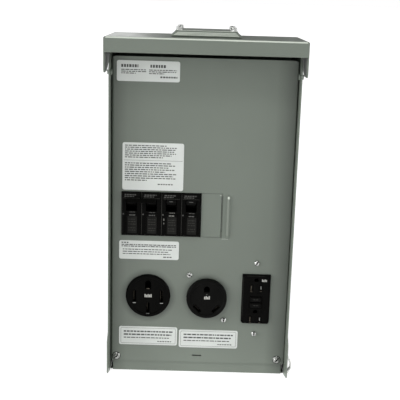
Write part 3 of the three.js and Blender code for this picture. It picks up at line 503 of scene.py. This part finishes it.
def print_line(rng, x0, x1, z, height, word=(1.6, 6.0), gap=0.9):
    """A line of print as bars of word length."""
    bars, x = [], x0
    while x < x1 - 0.6:
        end = min(x + rng.uniform(*word), x1)
        bars.append(slab(x, end, INK_FRONT, INK_BACK, z - height / 2, z + height / 2))
        x = end + gap
    return bars


def print_layout(node):
    """Lines of print as (left, right, drop from the top, height, word length).

    All but the word length are shares of the label.
    """
    small, heading = (1.6, 6.0), (2.0, 3.0)
    if node == "label_top":
        lines = [(0.07, 0.34, 0.255, 0.14, heading), (0.53, 0.79, 0.255, 0.14, heading),
                 (0.69, 0.96, 0.775, 0.08, heading)]
        for row, ends in enumerate(((0.46, 0.95), (0.47, 0.94), (0.3, 0.75))):
            drop = 0.44 + 0.085 * row
            lines += [(start, end, drop, 0.042, small) for start, end in zip((0.07, 0.51), ends)]
        return lines
    if node == "label_upper":
        upper_ends = (0.73, 0.88, 0.86, 0.84, 0.87, 0.8, 0.66)
        lower_ends = (0.8, 0.86, 0.76, 0.85, 0.7, 0.88, 0.83, 0.87, 0.4)
        upper = [(0.04, end, 0.06 + 0.041 * i, 0.02, small) for i, end in enumerate(upper_ends)]
        lower = [(0.04, end, 0.43 + 0.045 * i, 0.021, small) for i, end in enumerate(lower_ends)]
        return upper + lower + [(0.58, 0.84, 0.87, 0.024, heading)]
    if node == "label_middle":
        dense = [(0.04, 0.95, 0.22 + 0.085 * i, 0.05, small) for i in range(2)]
        rest = [(0.06, end, 0.47 + 0.12 * i, 0.045, small) for i, end in enumerate((0.9, 0.82, 0.86))]
        return dense + rest + [(0.04, 0.17, 0.11, 0.06, heading), (0.74, 0.9, 0.86, 0.06, small)]
    return [(0.08, 0.92, 0.27, 0.075, small), (0.08, 0.9, 0.44, 0.075, small),
            (0.08, 0.86, 0.61, 0.05, small), (0.66, 0.9, 0.8, 0.05, heading)]


def label(node, ink, rule=None, frame_line=False):
    """A sticker pressed on the dead front, with bars in place of its print."""
    spot = spot_of(node)
    half_width, half_height, _, _ = reach_of(node)
    outline = rounded(-half_width, half_width, -half_height, half_height, 2.5)
    face = [(a * 0.999, b * 0.998) for a, b in outline]
    film = loft([(-FILM, face), (-FILM + 0.08, outline), (0.0, outline)])
    put(node + "_film", film, spot, node, replaces=True)
    rng = random.Random(len(node))
    width, height = 2 * half_width, 2 * half_height
    bars = []
    for left, right, drop, tall, word in print_layout(node):
        bars += print_line(rng, left * width - half_width, right * width - half_width,
                           half_height - drop * height, tall * height, word)
    if rule:
        reach, unbroken = half_width * 0.96, (200, 200)
        bars += print_line(rng, -reach, reach, half_height - rule * height, 0.35, unbroken)
    if frame_line:
        x, z, thick = half_width - 2.2, half_height - 2, 0.35
        ring = slab(-x, x, INK_FRONT, INK_BACK, -z, z, 1.6)
        bars.append(cut(ring, slab(thick - x, x - thick, -FILM - 2, -FILM + 2, thick - z, z - thick, 1.3)))
    put(node + "_print", together(bars), spot, node, ink, "charcoal_plastic")


label("label_top", INK)
label("label_upper", INK, rule=0.37)
label("label_middle", INK)
label("label_lower_left", INK, frame_line=True)
label("label_lower_right", INK, frame_line=True)


# ---- screws on the front -------------------------------------------------------------------

def pan_head(node, slot_turn, slot_width=1.1, washer=False, material=None):
    """A domed screw head with a straight slot and a small round recess.

    A near-black lining stands in for the shade in the slot and round the washer.
    """
    radius, _, front, back = reach_of(node)
    head = radius * (0.8 if washer else 1.0)
    seat = -0.9 if washer else 0.0
    dome = [(0.3, 0.0), (0.56, 0.04), (0.74, 0.16), (0.88, 0.36), (0.96, 0.6), (1.0, 0.86), (1.0, 1.0)]
    profile = [(head * r, front + (seat - front) * t) for r, t in dome]
    if washer:
        profile += [(radius - 0.4, -0.9), (radius, -0.5), (radius, 0.0)]
    shank = radius * 0.45
    profile += [(shank, 0.0), (shank, back - 1), (shank * 0.6, back)]
    deep = front + 1.5
    slot = slab(-2 * radius, 2 * radius, front - 2, deep, -slot_width / 2, slot_width / 2)
    bmesh.ops.rotate(slot, verts=slot.verts, matrix=Matrix.Rotation(math.radians(-slot_turn), 3, "Y"))
    recess = turned([(0.34 * head, front - 2), (0.34 * head, front + 0.7), (0.2 * head, deep + 0.3)],
                    segments=24)
    bm = cut(turned(profile, segments=48), slot, recess)
    put(node + "_head", bm, spot_of(node), node, material, replaces=True, radius=0.08)
    slot_shade = slab(-0.93 * head, 0.93 * head, deep - 0.75, deep + 0.2,
                 -slot_width / 2 - 0.1, slot_width / 2 + 0.1)
    bmesh.ops.rotate(slot_shade, verts=slot_shade.verts, matrix=Matrix.Rotation(math.radians(-slot_turn), 3, "Y"))
    shade_linings = [slot_shade, turned([(0.3 * head, deep - 0.9), (0.3 * head, deep + 0.2)], segments=24)]
    if washer:
        shade_linings.append(turned([(radius + 0.75, -0.06), (radius + 0.75, 0.2)], segments=48))
    put(node + "_slot_painted_shade", together(shade_linings), spot_of(node), node, GAP_SHADE_BLACK, "charcoal_plastic")


pan_head("dead_front_screw_left", 42, 1.25, washer=True, material=DULL_ZINC)
pan_head("dead_front_screw_right", 48, 1.25, washer=True, material=DULL_ZINC)
pan_head("rv_outlet_screw_upper", -23)
pan_head("rv_outlet_screw_lower", 86)
pan_head("gfci_screw_lower", 90)
pan_head("gfci_screw_upper", 56)


# ---- receptacles ---------------------------------------------------------------------------

def funnel(outline, face, depth, mouth):
    """Sections of a way that is wider by mouth at the face and straight behind."""
    return [(face - 3, outline(mouth)), (face, outline(mouth)), (face + 1.6, outline(0)),
            (face + depth, outline(0))]


def blade_way(width, height, face, depth=18.0, mouth=0.8):
    """Sections of a blade slot that narrows from a funnel mouth in the face."""
    def outline(grow):
        across, up = width / 2 + grow, height / 2 + grow
        return rounded(-across, across, -up, up, 0.3 + grow / 2, 3)
    return funnel(outline, face, depth, mouth)


def ground_way(radius, drop, face, depth=18.0, mouth=0.6):
    """Sections of a pin hole that is round above and square below."""
    def outline(grow):
        arc = [math.radians(a) for a in range(0, 181, 12)]
        r = radius + grow
        return [(-r, -drop - grow), (r, -drop - grow)] + [(r * math.cos(a), r * math.sin(a)) for a in arc]
    return funnel(outline, face, depth, mouth)


def round_face(radius, body_radius, front, neck, back):
    """Profile of a round receptacle: a sunk face inside a raised rim, and a wider rear body."""
    sunk = front + 1.2
    return [(radius - 5.2, sunk), (radius - 4.7, sunk - 0.1),
            (radius - 4.3, front + 0.35), (radius - 3.9, front + 0.08),
            (radius - 3.4, front), (radius - 1.9, front),
            (radius - 1.1, front + 0.15), (radius - 0.5, front + 0.5),
            (radius - 0.15, front + 1.0), (radius, front + 1.7), (radius, neck), (body_radius, neck),
            (body_radius, back - 2), (body_radius - 2, back)]


def contact(width, height, face, x, z, turn=0.0):
    """A sprung blade contact: two leaves deep in a slot."""
    leaves = []
    for side in (-1, 1):
        edge = side * (width / 2 + 0.15)
        inner = side * (width / 2 - 0.35)
        leaves.append(slab(min(edge, inner), max(edge, inner), face + 8, face + 15,
                           -height / 2 + 0.4, height / 2 - 0.4))
    whole = together(leaves)
    bmesh.ops.rotate(whole, verts=whole.verts, matrix=Matrix.Rotation(math.radians(-turn), 3, "Y"))
    bmesh.ops.translate(whole, verts=whole.verts, vec=(x, 0, z))
    return whole


def mark(name, node, spot, x, z, heights, bar=1.5, face=0.0):
    """A generic printed mark: a row of upright bars over a short line."""
    gap = 0.45
    pitch = bar + gap
    start = x - pitch * len(heights) / 2
    foot = z - max(heights) / 2
    bars = [slab(start + i * pitch, start + i * pitch + bar, face - 0.08, face + 0.3, foot, foot + tall)
            for i, tall in enumerate(heights)]
    put(name, together(bars), spot, node, STAMP, "white_label")


def glint(x, z, face, width=4.2, height=1.0):
    """The plated end of a contact, showing at the foot of a slot."""
    return slab(x - width / 2, x + width / 2, face + 0.25, face + 2.2, z - height / 2, z + height / 2, 0.3)


def range_receptacle():
    node = "range_outlet_body"
    body_radius, _, front, back = reach_of(node)
    spot = spot_of(node)
    radius, face, side = body_radius - 2.6, front + 1.2, 17.6
    ways = [(-side, -1.4, 16.4), (side, -1.4, 16.4), (0.0, -17.0, 14.4)]
    tools = [loft(blade_way(3.0, tall, face), x, z) for x, z, tall in ways]
    tools.append(loft(ground_way(3.4, 7.2, face), 0.0, 17.2))
    bm = cut(turned(round_face(radius, body_radius, front, 8, back)), *tools)
    put("range_receptacle", bm, spot, node, replaces=True)
    pairs = [contact(3.0, tall, face, x, z) for x, z, tall in ways]
    put("range_contacts", together(pairs), spot, node, SHADED_CONTACT, "copper")
    ends = [glint(x, z - tall / 2 - 0.3, face) for x, z, tall in ways]
    put("range_contact_ends", together(ends), spot, node, DULL_ZINC, "zinc_steel", radius=0.15)
    # The ground slot's end is painted in shade with the darker contact metal.
    put("range_ground_end", glint(0.0, 9.7, face, 3.8), spot, node, SHADED_CONTACT, "copper", radius=0.15)
    mark("range_mark", node, spot, 0.4, 0.3, (4.2, 3.2, 4.2, 3.6, 4.2), face=face)


def rv_receptacle():
    node = "rv_outlet_body"
    body_radius, _, front, back = reach_of(node)
    spot = spot_of(node)
    radius, face = body_radius - 1.3, front + 1.2
    tools = [loft(blade_way(3.0, 11.0, face), side * 12.2, -13.2, side * -45) for side in (-1, 1)]
    tools.append(loft(ground_way(3.3, 4.2, face), 0.0, 13.8))
    bm = cut(turned(round_face(radius, body_radius, front, 5, back)), *tools)
    put("rv_receptacle", bm, spot, node, FACE_BLACK, replaces=True)
    pairs = [contact(3.0, 11.0, face, side * 12.2, -13.2, side * -45) for side in (-1, 1)]
    put("rv_contacts", together(pairs), spot, node, SHADED_CONTACT, "copper")
    mark("rv_mark", node, spot, 0.6, 2.2, (3.6, 4.4, 3.2, 4.4), face=face)
    dot = slab(-0.9, 0.9, face - 0.08, face + 0.3, 6.2, 7.1)
    put("rv_mark_dot", dot, spot, node, DIM_STAMP, "white_label")


range_receptacle()
rv_receptacle()


# ---- ground-fault receptacle ---------------------------------------------------------------

def gfci():
    node = "gfci_body"
    spot = spot_of(node)
    _, _, face, back = reach_of(node)
    half_width, half_height = 18.1, 33.4

    def outline(inset):
        return rounded(inset - half_width, half_width - inset, inset - half_height, half_height - inset,
                       max(3 - inset, 0.4), upper=0.5)

    body = loft([(face, outline(0.7)), (face + 0.2, outline(0.25)),
                 (face + 0.7, outline(0)), (6, outline(0))])
    rear = slab(-21, 21, 5, back, -36, 36, 1.5)
    tools = []
    for drop in (14.9, -28.2):
        tools.append(loft(blade_way(2.2, 8.6, face, mouth=0.35), -6.4, drop))
        tools.append(loft(blade_way(2.2, 7.2, face, mouth=0.35), 6.0, drop))
        tools.append(loft(ground_way(2.7, 1.2, face, mouth=0.35), 0.0, drop + 11))
    tools.append(slab(-7.7, 7.7, face - 1, 9, -12.1, 4.1, 0.6))
    tools.append(cut(slab(-16.5, 16.5, face - 1, face + 0.45, -31.8, 31.8, 1.6),
                     slab(-15.9, 15.9, face - 2, face + 2, -31.2, 31.2, 1.2)))
    for level in (9.0, -16.2):
        tools.append(slab(-13, 13, face - 1, face + 0.3, level - 0.25, level + 0.25))
    whole = cut(joined(body, rear), *tools)
    put("gfci_receptacle", whole, spot, node, replaces=True, radius=0.08, segments=1)
    # The right-hand contacts take the lit metal; the left-hand ones and the slot ends are painted in shade.
    bright, shaded_contacts = [], []
    for drop in (14.9, -28.2):
        bright.append(slab(5.75, 6.4, face + 0.9, face + 8, drop - 1.4, drop + 3.0))
        shaded_contacts.append(slab(-6.9, -6.1, face + 1.6, face + 8, drop - 3.2, drop + 3.2))
        shaded_contacts += [glint(x, drop - tall, face, 2.6, 0.7) for x, tall in ((-6.4, 4.4), (6.0, 3.8))]
    put("gfci_contacts", together(bright), spot, node, DULL_ZINC, "zinc_steel", radius=0.1)
    put("gfci_shaded_contacts", together(shaded_contacts), spot, node, SHADED_CONTACT, "copper", radius=0.1)
    mark("gfci_mark", node, spot, 10.3, 26.1, (3.3, 2.4, 3.3, 2.8), bar=1.25, face=face)
    # Lighter strips along the face's top and left edges are painted highlights.
    edge_highlight_strips = [slab(-13.2, 9.5, face - 0.06, face + 0.3, 31.9, 32.15),
              slab(-17.2, -16.95, face - 0.06, face + 0.3, -24, 30)]
    put("gfci_painted_highlights", together(edge_highlight_strips), spot, node, EDGE_BLACK, "charcoal_plastic")
    for button in ("gfci_test_button", "gfci_reset_button"):
        wide, tall, front, rear_end = reach_of(button)
        cap = [(front, rounded(0.7 - wide, wide - 0.7, 0.7 - tall, tall - 0.7, 0.5)),
               (front + 0.25, rounded(0.25 - wide, wide - 0.25, 0.25 - tall, tall - 0.25, 0.7)),
               (front + 0.8, rounded(-wide, wide, -tall, tall, 0.8)),
               (rear_end, rounded(-wide, wide, -tall, tall, 0.8))]
        dish = turned([(9.0, front - 6), (9.0, front - 0.9), (2.0, front + 0.25)], segments=48)
        bmesh.ops.scale(dish, verts=dish.verts, vec=(1, 1, 0.4))
        put(button + "_cap", cut(loft(cap), dish), spot_of(button), button, FACE_BLACK, replaces=True)
        line = [slab(x0, x1, front + 0.02, front + 0.6, -0.35, 0.35) for x0, x1 in ((-3.2, -0.6), (0.2, 3.2))]
        put(button + "_mark", together(line), spot_of(button), button, EDGE_BLACK, "charcoal_plastic")


def words(rng, left, right, word=(1.6, 5.0), gap=0.9):
    """Word-length spans between left and right."""
    spans, x = [], left
    while x < right - 0.6:
        end = min(x + rng.uniform(*word), right)
        spans.append((x, end))
        x = end + gap
    return spans


# ---- circuit breakers ----------------------------------------------------------------------

NOSE_Y, PAD_Y, BROW_Y = -1.6, -3.0, -2.8      # faces of a breaker, from the dead front


def breaker(node, poles, boldness):
    """The moulded case, the plate under each handle, painted highlights on its edges and generic print."""
    spot = spot_of(node)
    bm = cad_copy(node)
    soften(bm, 0.4 * MM, 3)
    finished(node + "_shell", mesh_from(bm, node + "_mesh"), body_of(node), slot_of(node), replaces=[node])
    half_width, _, _, _ = reach_of(node)
    pitch = 2 * half_width / poles
    rng = random.Random(node)
    pads, edges, dim, bold = [], [], [], []
    for pole in range(poles):
        x = (pole + 0.5) * pitch - half_width
        pads.append(loft([(PAD_Y - 0.35, rounded(x - 4.5, x + 6.8, -25.2, -3.6, 0.5)),
                          (PAD_Y - 0.2, rounded(x - 4.8, x + 7.1, -25.5, -3.3, 0.7)),
                          (PAD_Y + 0.5, rounded(x - 4.8, x + 7.1, -25.5, -3.3, 0.7))]))
        # Lighter strips on the nose's left and lower edges and under the brow are painted highlights; the rows on
        # the pad below are print.
        edges.append(slab(x - 12.3, x - 11.75, NOSE_Y - 0.3, NOSE_Y + 0.5, -27, 26.4))
        edges.append(slab(x - 8.4, x + 8.4, NOSE_Y - 0.25, NOSE_Y + 0.5, -28.2, -27.6))
        marks = bold if boldness[pole] else dim
        edges.append(slab(x - 10.4, x + 10.4, BROW_Y - 0.2, BROW_Y + 0.5, 19.95, 20.45, 0.2))
        for z, tall, left, right in ((24.6, 1.5, -8.6, 6.5), (22.3, 1.3, -9.4, 3.5)):
            dim += [slab(x + a, x + b, BROW_Y - 0.05, BROW_Y + 0.5, z - tall / 2, z + tall / 2)
                    for a, b in words(rng, left, right, (1.2, 3.4), 0.8)]
        marks += [slab(x + a, x + b, NOSE_Y - 0.05, NOSE_Y + 0.5, 1.3, 2.3)
                  for a, b in words(rng, -2.5, 4.6, (2, 4), 0.5)]
        marks += [slab(x + a, x + b, PAD_Y - 0.05, PAD_Y + 0.5, -2.4, -0.9)
                  for a, b in words(rng, -2.8, 5.0, (1.6, 4), 0.5)]
        dots = ((-8.6, 3.0), (-13.2, 2.0)) if boldness[pole] else ()
        marks += [slab(x - 9.7, x - 8.5, NOSE_Y - 0.05, NOSE_Y + 0.5, z, z + tall) for z, tall in dots]
        dim.append(slab(x - 11.2, x - 9.3, NOSE_Y - 0.05, NOSE_Y + 0.5, -1.8, -0.1))
        for z in (-7.2, -10.4, -13.6, -18.5, -21.5):
            edges += [slab(x + a, x + b, PAD_Y - 0.4, PAD_Y + 0.2, z - 0.4, z + 0.4)
                      for a, b in words(rng, -3.6, 5.8, (1.4, 4), 0.8)]
    put(node + "_pads", together(pads), spot, node, PAD_BLACK, "charcoal_plastic")
    put(node + "_edges", together(edges), spot, node, EDGE_BLACK, "charcoal_plastic")
    put(node + "_small_print", together(dim), spot, node, DIM_STAMP, "white_label")
    if bold:
        put(node + "_print", together(bold), spot, node, PRINT, "white_label")


def handle(node, joint):
    """A toggle with moulded grip ridges over its tip, drawn upright and swung to where it rests."""
    bm = cad_copy(node)
    soften(bm, 0.45 * MM, 3)
    lever = mesh_from(bm, node + "_mesh")
    finished(node + "_lever", lever, body_of(node), slot_of(node), HANDLE_BLACK, replaces=[node])
    pivot = Vector(joint["pos_m"])
    low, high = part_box(node)
    pivot.x = (low.x + high.x) / 2
    ridges = [slab(-5.3, 5.3, y, y + 0.7, -2.75, 2.75, 0.3) for y in (-16.2, -14.6, -13.0, -11.4)]
    on_angle = Matrix.Rotation(math.radians(-20), 3, "X")       # the toggle leans up when it is on
    bm = together(ridges)
    bmesh.ops.rotate(bm, verts=bm.verts, matrix=on_angle)
    put(node + "_grip", bm, pivot, node, HANDLE_BLACK, radius=0.12, segments=1)
    tip = slab(-2.4, 2.4, -17.28, -16.9, -0.45, 0.45, 0.2)
    bmesh.ops.rotate(tip, verts=tip.verts, matrix=on_angle)
    put(node + "_mark", tip, pivot, node, DIM_STAMP, "white_label")


breaker("breaker_50a_case", 2, (False, False))
breaker("breaker_30a_case", 1, (True,))
breaker("breaker_20a_case", 1, (False,))
swings = {joint["name"]: joint for joint in frame["joints"]}
for node, name in (("toggle_50a_left", "toggle_50a_swing"), ("toggle_50a_right", "toggle_50a_swing"),
                   ("toggle_30a", "toggle_30a_swing"), ("toggle_20a", "toggle_20a_swing")):
    handle(node, swings[name])
gfci()


# ---- sheet metal ---------------------------------------------------------------------------

def upright(bm):
    """Turns a solid drawn front to back so that its -y points up and its z points back."""
    bmesh.ops.rotate(bm, verts=bm.verts, matrix=Matrix.Rotation(math.radians(-90), 3, "X"))
    return bm


def dead_front():
    """The dead front with its folded side edges bent round, and its rib pressed as a rounded bead."""
    node = "dead_front"
    low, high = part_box(node)
    steps = 8
    half = (high.x - low.x) / 2 / MM
    tall = (high.z - low.z) / 2 / MM + 5
    tools = []
    for side, bend in ((-1, 2.2), (1, 1.4)):
        arc = [math.radians(90 * i / steps) for i in range(steps + 1)]
        curve = [(side * (half - bend + bend * math.sin(a)), bend - bend * math.cos(a)) for a in arc]
        corner = curve + [(side * (half + 2), bend), (side * (half + 2), -2), (side * (half - bend), -2)]
        tools.append(upright(loft([(-tall, corner), (tall, corner)])))
    bm = cad_copy(node)
    spot = spot_of(node)
    placing = Matrix.Translation(spot) @ Matrix.Scale(MM, 4)
    bmesh.ops.transform(bm, matrix=placing.inverted(), verts=bm.verts)
    bm = cut(bm, *tools)
    clear_top, clear_low, spring = 120, 40, 0.9       # the right edge springs out against the wall lower down
    for corner in bm.verts:
        height = corner.co.z + spot.z / MM
        if corner.co.x > half - 4:
            corner.co.x += spring * min(max((clear_top - height) / (clear_top - clear_low), 0), 1)
    discs = []
    for outlet in ("range_outlet_body", "rv_outlet_body"):
        middle = spot_of(outlet)
        discs.append((middle.x, middle.z, (reach_of(outlet)[0] - 2) * MM))
    paint = shaded("grey_enamel_front", GREY, discs, half * MM)
    put(node + "_sheet", bm, spot, node, paint, replaces=True, radius=0.12, segments=1, smooth_angle=30)
    ends = [math.radians(a) for a in range(0, 181, 15)]
    width, length, height = 2.2, 28.3, 1.9
    levels = [(-height * math.sin(t), math.cos(t)) for t in (1.57, 1.3, 1.0, 0.7, 0.4, 0.15, 0.0)]
    sections = []
    for y, grow in levels:
        r = max(width * grow, 0.05)
        top = [(r * math.cos(a), length - width + r * math.sin(a)) for a in ends]
        foot = [(-r * math.cos(a), -(length - width) - r * math.sin(a)) for a in ends]
        sections.append((y, top + foot))
    sections.append((0.3, sections[-1][1]))
    rib = Vector((0.034, FACE_Y, -0.0041))
    put("front_rib", loft(sections), rib, node, smooth_angle=50)
    # Pale strips at the rib's top end, along its foot and in the notch above the filler plate are painted
    # highlights; the lighter strip on the crest is a painted sheen; the near-black strip beside the filler plate
    # is painted shade in the gap.
    highlight_strips = [slab(-1.2, 1.3, -1.97, -0.6, 24, 27, 0.6), slab(-7.4, 0.8, -0.05, 0.5, -29.1, -28.8),
            slab(-11.2, -8.6, -0.05, 0.5, 27.7, 28.2)]
    put("front_rib_painted_highlights", together(highlight_strips), rib, node, HIGHLIGHT_GREY)
    put("front_rib_crest", slab(-1.1, 0.5, -1.92, -1.0, -24, 23.8, 0.5), rib, node, SHEEN_GREY)
    put("filler_edge_painted_shade", slab(-7.5, -7.05, -0.03, 0.4, -28.4, 27.6), rib, node, GAP_SHADE_BLACK, "charcoal_plastic")


def hub_plate():
    """The pressed cover over the hub opening: a turned-down edge and rounded steps up to a flat lid.

    Pale strips stand in for the light on the steps.
    """
    node = "hub_closure_plate"
    low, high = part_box(node)
    wide, deep = (high.x - low.x) / 2 / MM, (high.y - low.y) / 2 / MM
    rise = (high.z - low.z) / MM
    steps = ((0.0, 1.2), (1.7, 2.6), (3.4, 4.0), (5.0, rise))       # distance in from the edge, height
    rim = 1.3                                                       # how far the edge is turned down
    levels = [(0.15, -rim), (0.0, 0.25 - rim)]
    bend = 0.9
    for inset, top in steps:
        levels += [(inset + bend * (1 - math.cos(a)), top - bend * (1 - math.sin(a)))
                   for a in (math.radians(t) for t in (0, 18, 36, 54, 72, 90))]
    sections = [(-z, rounded(inset - wide, wide - inset, inset - deep, deep - inset, 4))
                for inset, z in levels]
    blank = upright(loft(sections))
    under = upright(loft([(rim + 1, rounded(1.5 - wide, wide - 1.5, 1.5 - deep, deep - 1.5, 3)),
                          (-0.05, rounded(1.5 - wide, wide - 1.5, 1.5 - deep, deep - 1.5, 3))]))
    hollow = upright(loft([(1, rounded(5 - wide, wide - 5, 5 - deep, deep - 5, 3)),
                           (-1, rounded(5 - wide, wide - 5, 5 - deep, deep - 5, 3)),
                           (1.5 - rise, rounded(7 - wide, wide - 7, 7 - deep, deep - 7, 2))]))
    centre = Vector(((low.x + high.x) / 2, (low.y + high.y) / 2, low.z))
    holes = []
    for number in (1, 2, 3, 4):
        a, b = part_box(f"hub_screw_{number}")
        at = (Vector(((a.x + b.x) / 2, (a.y + b.y) / 2, low.z)) - centre) / MM
        holes.append(upright(turned([(2.6, -20), (2.6, 20)], at.x, at.y, 32)))
    put(node + "_pressing", cut(blank, under, hollow, *holes), centre, node, replaces=True, smooth_angle=40)
    highlight_strips = []
    for inset, top in steps:
        front = inset - deep
        arc = [math.radians(a) for a in range(0 if top < rise else 30, 90, 9)]
        proud = bend + 0.03
        profile = [(front + bend - proud * math.cos(a), top - bend + proud * math.sin(a)) for a in arc]
        profile += [(front + bend, top - 0.1), (front + bend, top - bend)]
        highlight_strips.append(bar_along(profile, inset + 3.6 - wide, wide - inset - 3.6))
    put(node + "_painted_highlights", together(highlight_strips), centre, node, HIGHLIGHT_GREY)


def gasket():
    """The gasket, drawn in behind the turned-down edge of the cover."""
    node = "hub_gasket"
    low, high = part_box(node)
    bm = cad_copy(node)
    middle = Matrix.Translation((low + high) / 2)
    shrink = Matrix.Diagonal((0.97, 0.97, 1, 1))
    bmesh.ops.transform(bm, matrix=middle @ shrink @ middle.inverted(), verts=bm.verts)
    soften(bm, EDGE_ROUND)
    finished(node + "_seal", mesh_from(bm, node + "_mesh"), body_of(node), slot_of(node), replaces=[node])


def hood():
    """The folded roof with its front bend, with a pale strip for the light on the bend."""
    node = "roof_hood"
    softened(node)
    low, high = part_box(node)
    half = (high.x - low.x) / 2 / MM
    bend, proud = 2.4, 0.04
    arc = [math.radians(a) for a in range(12, 70, 6)]
    profile = [((bend + proud) * -math.cos(a), (bend + proud) * math.sin(a)) for a in arc]
    profile += [((bend - 0.5) * -math.cos(a), (bend - 0.5) * math.sin(a)) for a in reversed(arc)]
    axis = Vector(((low.x + high.x) / 2, low.y + bend * MM, high.z - bend * MM))
    put(node + "_painted_highlight", bar_along(profile, 2.6 - half, half - 2.6), axis, node, HIGHLIGHT_GREY)


def hex_screw(node, slot_turn):
    """A slotted hexagon-head screw with a washer face, standing up."""
    low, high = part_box(node)
    radius = (high.y - low.y) / 2 / MM
    radius = max(radius, (high.x - low.x) / 2 / MM)
    tall = 4.2

    def hexagon(size):
        flat = size * math.cos(math.radians(30))
        points = []
        for i in range(48):
            a = 2 * math.pi * i / 48
            wedge = (a % (math.pi / 3)) - math.pi / 6
            points.append((flat / math.cos(wedge) * math.cos(a), flat / math.cos(wedge) * math.sin(a)))
        return points

    length = (high.z - low.z) / MM
    foot = tall - length
    sections = [(-foot, circle(1.4, 48)), (-foot - 1, circle(2.2, 48)),
                (0.3, circle(2.2, 48)), (0.3, circle(radius, 48)),
                (-0.5, circle(radius, 48)), (-0.7, circle(radius - 0.3, 48)), (-0.7, hexagon(radius - 0.25)),
                (-tall + 0.9, hexagon(radius - 0.25)), (-tall + 0.35, circle(radius * 0.87, 48)),
                (-tall, circle(radius * 0.76, 48))]
    slot = slab(-2 * radius, 2 * radius, -tall - 2, -tall + 1.8, -0.75, 0.75)
    bmesh.ops.rotate(slot, verts=slot.verts, matrix=Matrix.Rotation(math.radians(slot_turn), 3, "Y"))
    bm = upright(cut(loft(sections), slot))
    spot = Vector(((low.x + high.x) / 2, (low.y + high.y) / 2, high.z - tall * MM))
    put(node + "_head", bm, spot, node, replaces=True)


dead_front()
hub_plate()
gasket()
hood()
# The bottom wall takes the same paint, with its painted shade at the side edges and painted light.
softened("bottom_wall", material=bpy.data.materials["grey_enamel_front"])
for number, turn in ((1, 25), (2, -35), (3, 70), (4, 10)):
    hex_screw(f"hub_screw_{number}", turn)


# ---- everything else keeps the shape of its CAD node, with its edges rounded ----------------

shown = {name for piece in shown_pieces() for name in piece.get("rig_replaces", [])}
for name in frame["nodes"]:
    if name not in shown:
        softened(name)


# ---- studio --------------------------------------------------------------------------------

def camera():
    """The camera stands in front, a little above the roof and to the left, and is rolled slightly."""
    lens = bpy.data.cameras.new("camera")
    lens.lens, lens.sensor_width = 75.63, 36
    eye = bpy.data.objects.new("camera", lens)
    scene.collection.objects.link(eye)
    pitch, yaw, roll = 0.23802, 0.00467, 0.02912
    forward = Vector((math.sin(yaw) * math.cos(pitch), math.cos(yaw) * math.cos(pitch), -math.sin(pitch)))
    level = Vector((math.cos(yaw), -math.sin(yaw), 0))
    upright = level.cross(forward)
    right = level * math.cos(roll) + upright * math.sin(roll)
    top = upright * math.cos(roll) - level * math.sin(roll)
    turn = Matrix((right, top, -forward)).transposed().to_4x4()
    eye.matrix_world = Matrix.Translation((-0.0071, -1.1285, 0.2680)) @ turn
    scene.camera = eye


def lamp(name, kind, direction, distance, power):
    """A lamp standing off in a direction given as (degrees right of the front, degrees up)."""
    light = bpy.data.lights.new(name, kind)
    light.energy = power
    stand = bpy.data.objects.new(name, light)
    scene.collection.objects.link(stand)
    turn, lift = (math.radians(a) for a in direction)
    towards = Vector((math.sin(turn) * math.cos(lift), -math.cos(turn) * math.cos(lift), math.sin(lift)))
    stand.location = towards * distance
    stand.rotation_euler = (-towards).to_track_quat("-Z", "Y").to_euler()
    stand.visible_camera = False
    return light


def studio():
    """A white floor under broad, soft lamps, with a faint low card behind on the left.

    The world is white where the camera sees it and dimmer as a light, so the background stays plain.
    """
    scene.view_settings.view_transform = "Standard"
    world = bpy.data.worlds.new("studio")
    scene.world = world
    world.use_nodes = True
    nodes, links = world.node_tree.nodes, world.node_tree.links
    place = nodes.new("ShaderNodeTexCoord")
    split = nodes.new("ShaderNodeSeparateXYZ")
    links.new(place.outputs["Generated"], split.inputs[0])
    fall = nodes.new("ShaderNodeValToRGB")
    ramp = fall.color_ramp
    ramp.elements[0].position, ramp.elements[1].position = 0.02, 1.0
    levels = ((0.02, 1.0), (0.05, 0.3), (0.3, 0.15), (0.8, 0.15), (1.0, 0.15))
    for place_in_ramp, _ in levels[1:-1]:
        ramp.elements.new(place_in_ramp)
    for step, (_, value) in zip(ramp.elements, levels):
        step.color = (value, value, value, 1)
    links.new(split.outputs["Z"], fall.inputs["Fac"])
    path = nodes.new("ShaderNodeLightPath")
    behind = nodes.new("ShaderNodeMix")
    behind.data_type = "RGBA"
    behind.inputs["B"].default_value = (1, 1, 1, 1)
    links.new(path.outputs["Is Camera Ray"], behind.inputs["Factor"])
    links.new(fall.outputs["Color"], behind.inputs["A"])
    links.new(behind.outputs["Result"], nodes["Background"].inputs["Color"])
    nodes["Background"].inputs["Strength"].default_value = 1.0
    mesh = bpy.data.meshes.new("floor")
    half = 60
    corners = [(-half, -half, 0), (half, -half, 0), (half, half, 0), (-half, half, 0)]
    mesh.from_pydata(corners, [], [(0, 1, 2, 3)])
    floor = bpy.data.objects.new("floor", mesh)
    scene.collection.objects.link(floor)
    floor.location.z = CAD_BOX[0].z - 0.4 * MM
    sheet = Finish("floor", (0.5, 0.5, 0.5), 0.9, specular=0.05)
    sheet.shader.inputs["Emission Color"].default_value = (1, 1, 1, 1)
    sheet.shader.inputs["Emission Strength"].default_value = 0.8
    mesh.materials.append(sheet.material)
    lamps = (("left", (-74, 16), 2.1, 30), ("right", (76, 16), 1.5, 30), ("top", (-6, 66), 0.8, 9))
    for name, direction, power, angle in lamps:
        lamp(name, "SUN", direction, 3, power).angle = math.radians(angle)
    card = lamp("back_card", "AREA", (-158, 14), 3.2, 10)
    card.shape, card.size, card.size_y = "RECTANGLE", 1.9, 0.9


camera()
studio()
